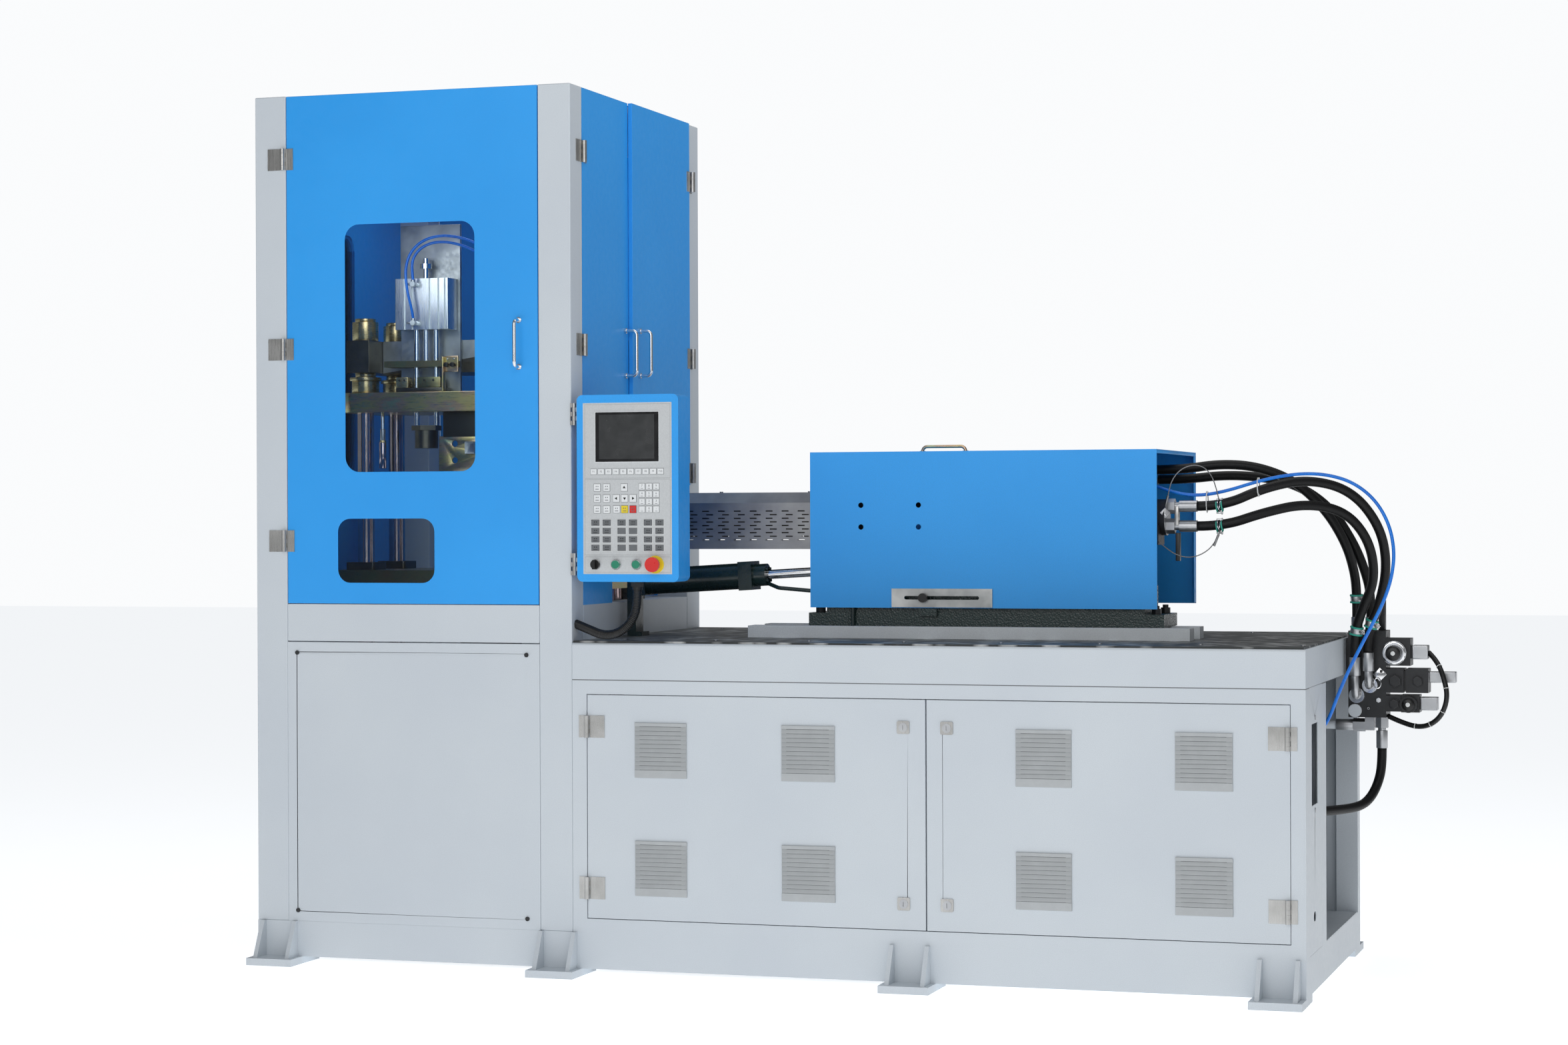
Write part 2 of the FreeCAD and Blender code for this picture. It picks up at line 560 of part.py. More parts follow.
for label, x in (("left", BUTTON_X[0]), ("right", BUTTON_X[1])):
    node("hmi_button_" + label, rod(x, hy0 + 8, SWITCH_Z, BUTTON_R, 20, (0, -1, 0)))
mushroom = fuse([rod(STOP_X, hy0 + 8, SWITCH_Z, BUTTON_R, 28, (0, -1, 0)),
                 Part.makeCone(STOP_R - 3, STOP_R, 4, V(STOP_X, hy0 - 18, SWITCH_Z), V(0, -1, 0)),
                 rod(STOP_X, hy0 - 22, SWITCH_Z, STOP_R, 9, (0, -1, 0))])
node("hmi_stop_button", mushroom)

# ---------------------------------------------------------------- cabinet doors
slot_h = 4.0
rows = [15.0 + 8 + (VENT - 40 - 8) / LOUVRES * i for i in range(LOUVRES)]


def grille(x, z):
    plate = box(x, -6, z, x + VENT, 0, z + VENT)
    slots = [box(x + 10, -7, z + 10 + r, x + VENT - 10, 1, z + 10 + r + slot_h) for r in rows]
    return plate.cut(slots)


for label, x0, x1, xs, axis in (("left", CAB_X[0], CAB_X[1], VENT_X[:2], CAB_AXIS_L),
                                ("right", CAB_X[1], CAB_X[2], VENT_X[2:], CAB_AXIS_R)):
    door = tray_y(x0 + 2, CAB_Z[0] + 2, x1 - 1.5, CAB_Z[1] - 2, 0, DOOR_T)
    lock_x = x1 - 61 if label == "left" else x0 + 57
    grilles = []
    for vx in xs:
        for vz in VENT_Z:
            door = door.cut(box(vx + 8, -1, vz + 8, vx + VENT - 8, 5, vz + VENT - 8))
            grilles.append(grille(vx, vz))
    cases = []
    for n, lz in enumerate((226.5, 690.5)):
        door = door.cut(rod(lock_x, -1, lz, LOCK_R + 1, 5, (0, 1, 0)))
        half = LOCK_CASE / 2
        case = rounded_xz(lock_x - half, lz - half, lock_x + half, lz + half, 4, -3, 0)
        cases.append(case.cut(rod(lock_x, -4, lz, LOCK_R + RUN, 6, (0, 1, 0))))
        slot = box(lock_x - 1.5, -5, lz - 6, lock_x + 1.5, -1.5, lz + 6)
        toward = 1 if label == "left" else -1
        cam = box(min(lock_x, lock_x + toward * 26), 9, lz - 6, max(lock_x, lock_x + toward * 26), 12, lz + 6)
        insert = fuse([rod(lock_x, -4, lz, LOCK_R, 13, (0, 1, 0)).cut(slot), cam])
        node("lock_%s_%s" % (label, ("lower", "upper")[n]), insert)
    node("cabinet_door_" + label, door)
    node("cabinet_%s_grilles" % label, grilles)
    node("cabinet_%s_fittings" % label, cab_leaves[label[0]] + cases)

# ---------------------------------------------------------------- rails and carriage
rail_top = DECK_TOP + RAIL_H
node("carriage_rails", [box(RAIL_X[0], y0, DECK_TOP, RAIL_X[1], y1, rail_top) for y0, y1 in RAIL_Y])

bed_z = rail_top + GAP
LUG_H = 35.0
LUG_L = 52.0
bed_top = COVER_Z[0] + 60
bed = box(BED_X[0] + LUG_L, BED_Y[0], bed_z, BED_X[1] - LUG_L, BED_Y[1], bed_top)
lugs = [box(BED_X[0], BED_Y[0], bed_z, BED_X[0] + LUG_L + 1, BED_Y[1], bed_z + LUG_H),
        box(BED_X[1] - LUG_L - 1, BED_Y[0], bed_z, BED_X[1], BED_Y[1], bed_z + LUG_H)]
bolts = []
for x in (BED_X[0] + 26, BED_X[1] - 26):
    for y in (BED_Y[0] + 30, BED_Y[1] - 30):
        bolts.append(hexagon(x, y, bed_z + LUG_H, 24, 15))
        bolts.append(rod(x, y, bed_z + LUG_H + 15, 8, 8))
head = box(1640, GUARD_Y[0] + 12, bed_top, 1760, GUARD_Y[1] - 12, AXIS_Z + 80)
head = head.cut(rod(1639, AXIS_Y, AXIS_Z, BARREL_R, 142, (1, 0, 0)))
MOTOR_X = 2360.0
rear_plate = box(MOTOR_X - 60, BED_Y[0] + 15, bed_top, MOTOR_X, BED_Y[1], AXIS_Z + 170)
rear_plate = rear_plate.cut(rod(MOTOR_X - 61, AXIS_Y, AXIS_Z, SCREW_R + RUN, 62, (1, 0, 0)))
wing_plate = box(MOTOR_X - 60, BED_Y[1], AXIS_Z - 60, MOTOR_X, 740, AXIS_Z + 170)
bars = [rod(1760, AXIS_Y + s * 62, AXIS_Z + 40, 14, MOTOR_X - 60 - 1760, (1, 0, 0)) for s in (-1, 1)]
# the ears and pin that the seat cylinder's eye hangs round
tilt = math.radians(SEAT_TILT)


def on_seat(along):
    """The point this far along the seat cylinder's axis."""
    return SEAT_START[0] + along * math.cos(tilt), SEAT_START[1] + along * math.sin(tilt)


EYE_AT = 602.0
eye_x, eye_z = on_seat(EYE_AT)
ears = [box(eye_x - 14, BED_Y[0], bed_top, eye_x + 14, SEAT_Y - 15, eye_z + 16),
        box(eye_x - 14, SEAT_Y + 15, bed_top, eye_x + 14, SEAT_Y + 20, eye_z + 16),
        rod(eye_x, BED_Y[0], eye_z, 5, SEAT_Y + 20 - BED_Y[0], (0, 1, 0))]
tab = box(1830, BED_Y[0] - 14, COVER_Z[0] - 22, 1880, BED_Y[0], COVER_Z[0] - 2)
KNOB_X = 1846.0
KNOB_Z = COVER_Z[0] + 28
boss = rod(KNOB_X, BED_Y[0] - 8, KNOB_Z, 9, 8, (0, 1, 0)).cut(rod(KNOB_X, BED_Y[0] - 9, KNOB_Z, 4 + RUN, 9, (0, 1, 0)))
well = rod(KNOB_X, BED_Y[0] - 1, KNOB_Z, 4 + RUN, 22, (0, 1, 0))
casting = fuse([bed] + lugs + ears + [tab, boss]).cut(well)
node("carriage_casting", [casting, head, rear_plate, wing_plate] + bars + bolts)

# barrel, heater bands and nozzle
NOZZLE_X = 975.0
barrel = rod(NOZZLE_X + 50, AXIS_Y, AXIS_Z, BARREL_R, 1760 - NOZZLE_X - 50, (1, 0, 0))
tip = Part.makeCone(14, BARREL_R, 50, V(NOZZLE_X, AXIS_Y, AXIS_Z), V(1, 0, 0))
barrel = fuse([barrel, tip]).cut([rod(NOZZLE_X + 55, AXIS_Y, AXIS_Z, SCREW_R + RUN, 800, (1, 0, 0)),
                                  rod(NOZZLE_X - 5, AXIS_Y, AXIS_Z, 3, 70, (1, 0, 0))])
BANDS = [NOZZLE_X + 65 + 108 * i for i in range(5)]
bands = []
for x in BANDS:
    bands.append(rod(x, AXIS_Y, AXIS_Z, BAND_R, 90, (1, 0, 0)).cut(rod(x - 1, AXIS_Y, AXIS_Z, BARREL_R, 92, (1, 0, 0))))
node("injection_barrel", [barrel] + bands)
SCREW_X = NOZZLE_X + 80
screw = fuse([rod(SCREW_X, AXIS_Y, AXIS_Z, SCREW_R, MOTOR_X - GAP - SCREW_X, (1, 0, 0)),
              Part.makeCone(4, SCREW_R, 22, V(SCREW_X - 22, AXIS_Y, AXIS_Z), V(1, 0, 0))])
groove = [Part.makeTorus(SCREW_R + 3, 5.5, V(SCREW_X + 30 + 24 * i, AXIS_Y, AXIS_Z), V(1, 0, 0)) for i in range(22)]
node("injection_screw", screw.cut(groove))

# slotted guard round the barrel
gz0, gz1, gz2 = GUARD_Z
GUARD_T = 1.5
bevel = 22.0


def guard_outline(inset, x):
    y0, y1 = GUARD_Y[0] + inset, GUARD_Y[1] - inset
    top = gz2 - inset
    low_ = gz0 - (1 if inset else 0)
    return [V(x, y0, low_), V(x, y0, gz1), V(x, y0 + bevel, top), V(x, y1 - bevel, top), V(x, y1, gz1),
            V(x, y1, low_), V(x, y0, low_)]


outer = Part.Face(Part.makePolygon(guard_outline(0, GUARD_X[0]))).extrude(V(GUARD_X[1] - GUARD_X[0], 0, 0))
inner = Part.Face(Part.makePolygon(guard_outline(GUARD_T, GUARD_X[0] - 1))).extrude(V(GUARD_X[1] - GUARD_X[0] + 2, 0, 0))
guard = outer.cut(inner)
slots = []
for j in range(9):
    for i in range(12):
        x = GUARD_X[0] + 20 + 46.9 * i + (12 if j % 2 else 0)
        z = 1261 - 10.05 * j
        slots.append(box(x, GUARD_Y[0] - 1, z - 1.6, x + 20.5, GUARD_Y[0] + 3, z + 1.6))
        slots.append(box(x, GUARD_Y[1] - 3, z - 1.6, x + 20.5, GUARD_Y[1] + 1, z + 1.6))
guard = guard.cut(slots)
feet_g = []
for x in BANDS:
    feet_g.append(rod(x + 45, AXIS_Y, AXIS_Z + BAND_R, 5, gz2 - GUARD_T - AXIS_Z - BAND_R))
screws_g = [rod(x, GUARD_Y[0] + bevel + 8, gz2, 5, 3) for x in (GUARD_X[0] + 30, 1240, 1500)]
node("barrel_guard", [guard] + feet_g + screws_g)

# hydraulic motor and the cylinder block behind it
flange_r = 49.0
PORT_Z = (AXIS_Z + 30, AXIS_Z - 24)
motor = [rod(MOTOR_X, AXIS_Y, AXIS_Z, 62, 100, (1, 0, 0)), rod(MOTOR_X + 100, AXIS_Y, AXIS_Z, flange_r, 38, (1, 0, 0))]
motor = [fuse(motor)]
FACE_M = MOTOR_X + 138
PORT_END = FACE_M + 82
for z in PORT_Z:
    motor.append(hexagon(FACE_M, AXIS_Y, z, 36, 22, "x"))
    motor.append(rod(FACE_M + 22, AXIS_Y, z, 11, 12, (1, 0, 0)))
    motor.append(rod(FACE_M + 34, AXIS_Y, z, 15.5, 48, (1, 0, 0)))
UP_Y = (620.0, 690.0)
UP_Z = (1371.0, 1345.0)
motor.append(box(MOTOR_X, 580, AXIS_Z + 80, MOTOR_X + 34, 730, AXIS_Z + 160))
for y, z in zip(UP_Y, UP_Z):
    motor.append(rod(MOTOR_X + 34, y, z, 14, 36, (1, 0, 0)))
motor.append(box(MOTOR_X, 458, AXIS_Z + 62, MOTOR_X + 60, 482, AXIS_Z + 100))
link = box(FACE_M - 20, AXIS_Y - flange_r - 8, AXIS_Z - 74, FACE_M - 14, AXIS_Y + 30, AXIS_Z - 20)
link = link.cut(rod(FACE_M - 21, AXIS_Y, AXIS_Z, flange_r + 0.01, 8, (1, 0, 0)))
motor.append(link)
node("hydraulic_motor", motor)

# cover: an upturned U of sheet with its handle, and the slotted bracket along its lower edge
cx0, cx1 = COVER_X
cy0, cy1 = COVER_Y
cz0, cz1 = COVER_Z
hood = box(cx0, cy0, cz0, cx1, cy1, cz1).cut(box(cx0 - 1, cy0 + COVER_T, cz0 - 1, cx1 + 1, cy1 - COVER_T, cz1 - COVER_T))
peep = [rod(x, cy0 - 1, z, 7.5, 5, (0, 1, 0)) for x in (1667, 1831) for z in (1216, 1276)]
SLOT_X = (1791.0, 2002.0)
SLOT_R = 5.0
BRACKET_T = 4.0


def long_slot(y, depth, r):
    return fuse([rod(SLOT_X[0] + r, y, KNOB_Z, r, depth, (0, 1, 0)), rod(SLOT_X[1] - r, y, KNOB_Z, r, depth, (0, 1, 0)),
                 box(SLOT_X[0] + r, y, KNOB_Z - r, SLOT_X[1] - r, y + depth, KNOB_Z + r)])


hood = hood.cut(peep + [long_slot(cy0 - 1, 5, 9)])
node("cover", hood)
bracket = box(1755, cy0 - BRACKET_T, cz0 + 2, 2039, cy0, cz0 + 53).cut(long_slot(cy0 - BRACKET_T - 1, 7, SLOT_R))
top_pull = bow_handle(125, 18, 4.5, 8)
top_pull = turned(turned(top_pull, 90, (0, 1, 0)), -90, (1, 0, 0))
lift = moved(top_pull, 1775, 600, cz1)
node("cover_fittings", [bracket, lift])
knob_y = cy0 - BRACKET_T - GAP
node("cover_knob", rod(KNOB_X, knob_y, KNOB_Z, 12.5, 14, (0, -1, 0)))
node("cover_knob_stud", rod(KNOB_X, knob_y, KNOB_Z, 4, BED_Y[0] + 18 - knob_y, (0, 1, 0)))

# ---------------------------------------------------------------- seat cylinder


def tilted(shape):
    return turned(shape, -SEAT_TILT, (0, 1, 0), (SEAT_START[0], SEAT_Y, SEAT_START[1]))


sx, sz = SEAT_START
bore_r = SEAT_R - 4.5
tube = rod(sx + 25, SEAT_Y, sz, SEAT_R, 279, (1, 0, 0)).cut(rod(sx + 25, SEAT_Y, sz, bore_r, 280, (1, 0, 0)))
cap = box(sx, SEAT_Y - 38, sz - 38, sx + 25, SEAT_Y + 38, sz + 38)
flange = box(sx + 304, SEAT_Y - 40, sz - 40, sx + 343, SEAT_Y + 40, sz + 40).cut(
    rod(sx + 303, SEAT_Y, sz, bore_r, 20, (1, 0, 0))).cut(rod(sx + 303, SEAT_Y, sz, ROD_R + RUN, 50, (1, 0, 0)))
gland_s = rod(sx + 343, SEAT_Y, sz, 31, 36, (1, 0, 0)).cut(rod(sx + 342, SEAT_Y, sz, ROD_R + RUN, 40, (1, 0, 0)))
body = [tube, cap, flange, gland_s]
for a in range(4):
    ang = math.radians(45 + 90 * a)
    body.append(rod(sx + 379, SEAT_Y + 23 * math.cos(ang), sz + 23 * math.sin(ang), 4, 5, (1, 0, 0)))
body = [tilted(p) for p in body]
# its oil line: out of the gland, along the bed's side and down into the rail
LINE_Y = (COVER_Y[0] + COVER_T + BED_Y[0]) / 2
wire, least = rounded_wire([(sx + 378, SEAT_Y, sz - 2), (sx + 420, LINE_Y, sz - 14), (1640, LINE_Y, 1030),
                            (1640, LINE_Y, rail_top)], fixed=20)
body.append(sweep(wire, 5.5).cut(body[3]))
pedestal = box(sx - 30, SEAT_Y - 30, DECK_TOP, sx - 4, SEAT_Y + 30, sz + 30)
ledge = box(sx - 30, SEAT_Y - 30, DECK_TOP, sx + 14, SEAT_Y + 30, DECK_TOP + 12)
post = fuse([pedestal, ledge])
joint_block = box(sx - 6, SEAT_Y - 20, sz - 20, sx + 6, SEAT_Y + 20, sz + 20).cut(body[1])
body.append(fuse([post, joint_block]).cut(body[1]))
node("seat_cylinder", body)
piston = rod(sx + 190, SEAT_Y, sz, bore_r - RUN, 30, (1, 0, 0))
stem = rod(sx + 200, SEAT_Y, sz, ROD_R, EYE_AT - 200 - 12, (1, 0, 0))
eye = rod(sx + EYE_AT, SEAT_Y - 7.5, sz, 22, 20, (0, 1, 0))
eye = stem.fuse(eye).cut(rod(sx + EYE_AT, SEAT_Y - 20, sz, 13.5, 50, (0, 1, 0))).fuse(piston)
node("seat_cylinder_rod", tilted(eye))

# ---------------------------------------------------------------- press inside the tower
px, py = PRESS_C
corners = [(px + i * BAR_X, py + j * BAR_Y) for i in (-1, 1) for j in (-1, 1)]
p0, p1 = PLATEN_Z
platen = rounded_xy(px - 414, py - 190, px + 414, py + 190, 20, p0, p1)
platen = platen.cut([rod(x, y, p0 - 1, BAR_R + RUN, p1 - p0 + 2) for x, y in corners])
blocks = [box(px - 414 + i * (828 - 40), py + j, DECK_TOP + 95, px - 414 + i * (828 - 40) + 40, py + j + 80, p0)
          for i in (0, 1) for j in (-180, 100)]
ram_r = 40.0
RAM_LOW = 560.0
cyl_low = 640.0
clamp = rod(px, py, cyl_low, 90, p0 - cyl_low).cut(rod(px, py, cyl_low - 1, ram_r + RUN, p0 - cyl_low - 60))
seats = [rounded_xy(x - 45, y - 45, x + 45, y + 45, 8, p1, p1 + 22).cut(rod(x, y, p1 - 1, BAR_R + RUN, 30)) for x, y in corners]
node("platens", [platen] + blocks + [clamp] + seats)
YOKE_Z = (500.0, 560.0)
bars_p = [rod(x, y, YOKE_Z[0] - 30, BAR_R, NUT_TOP - 20 - YOKE_Z[0] + 30) for x, y in corners]
bars_p.append(rod(px, py, YOKE_Z[1], ram_r, 260))
slim = rod(224, 430, p1, 6, TABLE_Z[0] - 20 - p1)
node("tie_bars", bars_p)


def drilled(shape, z0, z1):
    return shape.cut([rod(x, y, z0 - 1, BAR_R, z1 - z0 + 2) for x, y in corners])


table = rounded_xy(px - 414, py - 160, px + 414, py + 160, 40, *TABLE_Z)
AX0, AX1, AZ0, AZ1 = AIRCYL
acx = (AX0 + AX1) / 2
ACY = py - 110
rods_x = (acx - 30, acx, acx + 32)
ROD_Y = ACY
thru = [rod(x, ROD_Y, TABLE_Z[0] - 1, 11, TABLE_Z[1] - TABLE_Z[0] + 2) for x in rods_x]
table = drilled(table, *TABLE_Z).cut(thru)
yoke = drilled(rounded_xy(px - 400, py - 150, px + 400, py + 150, 20, *YOKE_Z), *YOKE_Z)
pieces = [table, yoke]
beam_y0 = ACY + 44
CHEEK = 36.0
pieces.append(box(px - BAR_X + CHEEK, beam_y0, BEAM_Z[0], px + BAR_X - CHEEK, py + 160, BEAM_Z[1]))
for x0 in (px - BAR_X, px + BAR_X):
    pieces.append(drilled(box(x0 - CHEEK, py - 160, BEAM_Z[0], x0 + CHEEK, py + 160, BEAM_Z[1]), *BEAM_Z))
for x, y in corners:
    for r, z0, z1 in ((40, TABLE_Z[1], TABLE_Z[1] + 36), (46, TABLE_Z[1] + 36, TABLE_Z[1] + 46),
                      (30, TABLE_Z[1] + 46, BEAM_Z[0]), (38, BEAM_Z[1], NUT_TOP - 10), (30, NUT_TOP - 10, NUT_TOP)):
        pieces.append(drilled(rod(x, y, z0, r, z1 - z0), z0, z1))
    pieces.append(hexagon(x, y, YOKE_Z[0] - 24, 70, 24).cut(rod(x, y, YOKE_Z[0] - 31, BAR_R, 60)))
back_plate = box(AX0 - 10, ACY + 32, TABLE_Z[1], AX1 + 10, ACY + 44 - GAP, AZ1 + 160)
pieces.append(back_plate)
node("press_table", pieces)

alu = rounded_xy(AX0, ACY - 32, AX1, ACY + 32, 4, AZ0, AZ1)
grooves = []
for x in (AX0 + 28, AX0 + 52, AX1 - 62, AX1 - 34, AX1 - 14):
    grooves.append(box(x, ACY - 34, AZ0 - 1, x + 6, ACY - 26, AZ1 + 1))
alu = alu.cut(grooves).cut([rod(x, ROD_Y, AZ0 - 1, 8 + RUN, AZ1 - AZ0 + 2) for x in rods_x])
fits = []
for z in (AZ0 + 18, AZ1 - 18):
    fits.append(rod(AX0 + 68, ACY - 32, z, 7, 14, (0, -1, 0)))
node("air_cylinder", [alu] + fits)

strip_z = (1684.0, 1702.0)
moving = [fuse([rod(x, ROD_Y, strip_z[1], 8, (AZ1 + 60 if k == 1 else AZ1 - 6) - strip_z[1]) for k, x in enumerate(rods_x)] +
               [box(AX0 - 36, ROD_Y - 30, strip_z[0], AX1 + 10, ROD_Y + 30, strip_z[1])] +
               [rod(acx, ROD_Y, AZ1 + 30, 18, 14)])]
guide = [rod(x, ROD_Y, 1514, 8, strip_z[0] - 1514) for x in rods_x[:1] + rods_x[2:]]
neck = rod(acx, ROD_Y, 1448, 34, 52)
collar = hexagon(acx, ROD_Y, 1500, 76, 14).cut([])
moving += guide + [neck, collar]
node("air_cylinder_rods", moving)

# ---------------------------------------------------------------- valve block on the end of the deck frame
bx0, bx1 = BLOCK_X
by0, by1 = BLOCK_Y
bz0, bz1 = BLOCK_Z
block = box(bx0, by0, bz0, bx1, by1, bz1)
mani = [block, box(BASE_L, by0 + 10, FRAME_TOP + 5, bx0, by1 - 10, deck_z - 5)]
ELBOWS = ((2967.0, 854.0, 748.0), (3003.0, 867.0, 776.0))
ELBOW_Y = by0 - 42
for x, ztop, z in ELBOWS:
    mani.append(rod(x, by0, z, 21, 12, (0, -1, 0)))
    wire, least = rounded_wire([(x, by0 - 12, z), (x, ELBOW_Y, z), (x, ELBOW_Y, ztop - 50)], fixed=22)
    mani.append(sweep(wire, 11))
    mani.append(rod(x, ELBOW_Y, ztop - 50, 15.5, 50))
UP_END = ((2963.0, 795.0), (2999.0, 815.0))
UP_TOP = 962.0
for x, y in UP_END:
    mani.append(rod(x, y, bz1, 15.5, UP_TOP - bz1))
mani.append(rod(2962, by0, 706, 18.5, 8, (0, -1, 0)))
mani.append(hexagon(3026, by0, 735, 12, 5, "y").translated(V(0, -5, 0)))
# valves to the right of the block
mani.append(box(bx1, by0, 830, bx1 + 66, by0 + 70, 905))
mani.append(rod(bx1 + 25, by0, 866, 33, 30, (0, -1, 0)))
mani.append(rod(bx1 + 25, by0 - 30, 866, 20, 14, (0, -1, 0)))
mani.append(box(bx1 + 66, by0 + 12, 850, bx1 + 112, by0 + 52, 884))
mani.append(box(bx1, by0 - 2, 756, bx1 + 48, by0 + 70, 822))
mani.append(hexagon(bx1 + 25, by0 - 7, 788, 34, 5, "y"))
mani.append(box(bx1 + 54, by0 - 2, 756, bx1 + 114, by0 + 70, 822))
mani.append(box(bx1 + 48, by0 + 6, 762, bx1 + 54, by0 + 60, 816))
mani.append(hexagon(bx1 + 86, by0 - 7, 788, 27, 5, "y"))
mani.append(box(bx1 + 114, by0 + 12, 786, bx1 + 187, by0 + 44, 812))
mani.append(box(bx1, by0, 704, bx1 + 40, by0 + 70, 748))
mani.append(hexagon(bx1 + 22, by0 - 5, 725, 30, 5, "y"))
mani.append(box(bx1 + 40, by0 + 4, 702, bx1 + 90, by0 + 60, 750))
mani.append(rod(bx1 + 62, by0 + 4, 725, 23, 22, (0, -1, 0)))
mani.append(box(bx1 + 90, by0 + 12, 710, bx1 + 138, by0 + 46, 742))
RET_X, RET_Y, RET_Z = 3030.0, 800.0, 601.0
mani.append(hexagon(RET_X, RET_Y, bz0 - 30, 34, 30))
mani.append(rod(RET_X, RET_Y, bz0 - 38, 11, 8))
mani.append(rod(RET_X, RET_Y, RET_Z, 15.5, bz0 - 38 - RET_Z))
PIPE_Y, PIPE_Z = 800.0, 664.0
TANK_X = (1300.0, 2720.0)
mani.append(box(2985, PIPE_Y - 14, PIPE_Z - 14, 3010, PIPE_Y + 14, bz0))
mani.append(hexagon(2952, PIPE_Y, PIPE_Z, 32, 33, "x"))
mani.append(rod(2905, PIPE_Y, PIPE_Z, 15.5, 47, (1, 0, 0)))
mani.append(rod(TANK_X[1], PIPE_Y, PIPE_Z, 12.5, 2905 - TANK_X[1], (1, 0, 0)))
AIR_BLOCK = (2856.0, 2890.0)
mani.append(box(AIR_BLOCK[0], END_POST[1], 640, AIR_BLOCK[0] + 20, END_POST[1] + 44, 676).fuse(
    rod(AIR_BLOCK[0] + 20, END_POST[1] + 30, 658, 8, AIR_BLOCK[1] - AIR_BLOCK[0] - 20, (1, 0, 0))))
node("manifold", mani)

# ---------------------------------------------------------------- power pack in the base
tx0, tx1 = TANK_X
TANK_Y = (150.0, 900.0)
TANK_TOP = 700.0
tank = box(tx0, TANK_Y[0], RAIL_TOP + 3, tx1, TANK_Y[1], TANK_TOP)
lid_z = TANK_TOP
tank = tank.cut(box(tx0 + 4, TANK_Y[0] + 4, RAIL_TOP + 7, tx1 - 4, TANK_Y[1] - 4, TANK_TOP + 1))
RET_END = (TANK_X[1] + 6.0, 466.0, 446.0)
pump = [tank, box(tx0, TANK_Y[0], lid_z, tx1, TANK_Y[1], lid_z + 6)]
pump.append(box(tx0 + 40, TANK_Y[0] + 30, RAIL_TOP, 2000, TANK_Y[1] - 30, RAIL_TOP + 3))
pump.append(rod(1420, 520, lid_z + 54, 48, 300, (1, 0, 0)))
pump.append(box(1450, 480, lid_z + 6, 1690, 560, lid_z + 12).fuse(box(1480, 500, lid_z + 12, 1660, 540, lid_z + 20)).cut(
    rod(1400, 520, lid_z + 54, 48, 340, (1, 0, 0))))
pump.append(rod(1720, 520, lid_z + 54, 32, 90, (1, 0, 0)))
pump.append(rod(tx1, RET_END[1], RET_END[2], 15.5, RET_END[0] - tx1, (1, 0, 0)))
node("power_pack", pump)

# ---------------------------------------------------------------- hoses and cables
node("hmi_conduit", cord("hmi_conduit", [
    (GLAND[0], GLAND[1], hz0 - 22 - GAP), (GLAND[0], GLAND[1], 1004), (PANEL_X + 148, 12, 962), (PANEL_X + 114, 2, 931),
    (PANEL_X + 70, 3, 925), (PANEL_X + 24, 16, 940), (right, 31, 955)], CONDUIT_R))
B0 = (PORT_END + GAP, AXIS_Y, PORT_Z[0])
C0 = (PORT_END + GAP, AXIS_Y, PORT_Z[1])
node("pressure_hose_rear", cord("pressure_hose_rear", [
    B0, (2652, AXIS_Y, PORT_Z[0]), (2755, 485, 1318), (2865, 530, 1342), (2975, 590, 1312), (3045, 648, 1215),
    (3060, 688, 1105), (3034, 714, 995), (ELBOWS[1][0], ELBOW_Y, 930), (ELBOWS[1][0], ELBOW_Y, ELBOWS[1][1])], HOSE_R))
node("pressure_hose_front", cord("pressure_hose_front", [
    C0, (2652, AXIS_Y, PORT_Z[1]), (2755, 487, 1252), (2860, 530, 1276), (2960, 578, 1256), (3020, 622, 1175),
    (3030, 664, 1070), (2990, 703, 988), (ELBOWS[0][0], ELBOW_Y, 922), (ELBOWS[0][0], ELBOW_Y, ELBOWS[0][1])], HOSE_R))
U0 = MOTOR_X + 70 + GAP
node("upper_hose_front", cord("upper_hose_front", [
    (U0, UP_Y[0], UP_Z[0]), (2510, UP_Y[0], UP_Z[0]), (2610, 626, 1386), (2712, 640, 1379), (2810, 664, 1340),
    (2890, 695, 1262), (2940, 735, 1170), (2959, 775, 1090), (UP_END[0][0], UP_END[0][1], 1026),
    (UP_END[0][0], UP_END[0][1], UP_TOP)], HOSE_R))
node("upper_hose_rear", cord("upper_hose_rear", [
    (U0, UP_Y[1], UP_Z[1]), (2510, UP_Y[1], UP_Z[1]), (2610, 700, 1356), (2712, 714, 1351), (2815, 732, 1326),
    (2900, 758, 1262), (2957, 785, 1165), (2985, 800, 1090), (UP_END[1][0], UP_END[1][1], 1026),
    (UP_END[1][0], UP_END[1][1], UP_TOP)], HOSE_R))
node("air_tube", cord("air_tube", [
    (MOTOR_X + 60 + GAP, 470, 1330), (2452, 470, 1330), (2498, 471, 1312), (2550, 469, 1300), (2605, 466, 1300), (2669, 460, 1313),
    (2735, 453, 1333), (2800, 446, 1348), (2868, 436, 1356), (2936, 425, 1352), (3004, 412, 1331), (3062, 398, 1286),
    (3100, 387, 1222), (3115, 377, 1152), (3110, 368, 1085), (3090, 362, 1020), (3058, 358, 955), (3024, 356, 890),
    (2992, 358, 825), (2966, 366, 765), (2945, 380, 712), (2921, 393, 675), (AIR_BLOCK[1], END_POST[1] + 30, 658)], AIR_R))
node("valve_cable", cord("valve_cable", [
    (bx1 + 112, by0 + 32, 866), (bx1 + 134, by0 + 20, 846), (bx1 + 156, by0 - 14, 806), (bx1 + 170, by0 - 26, 748),
    (bx1 + 152, by0 - 22, 694), (bx1 + 112, by0 - 6, 664), (bx1 + 60, by0 + 18, 664), (bx1, by0 + 34, 690)], CABLE_R))
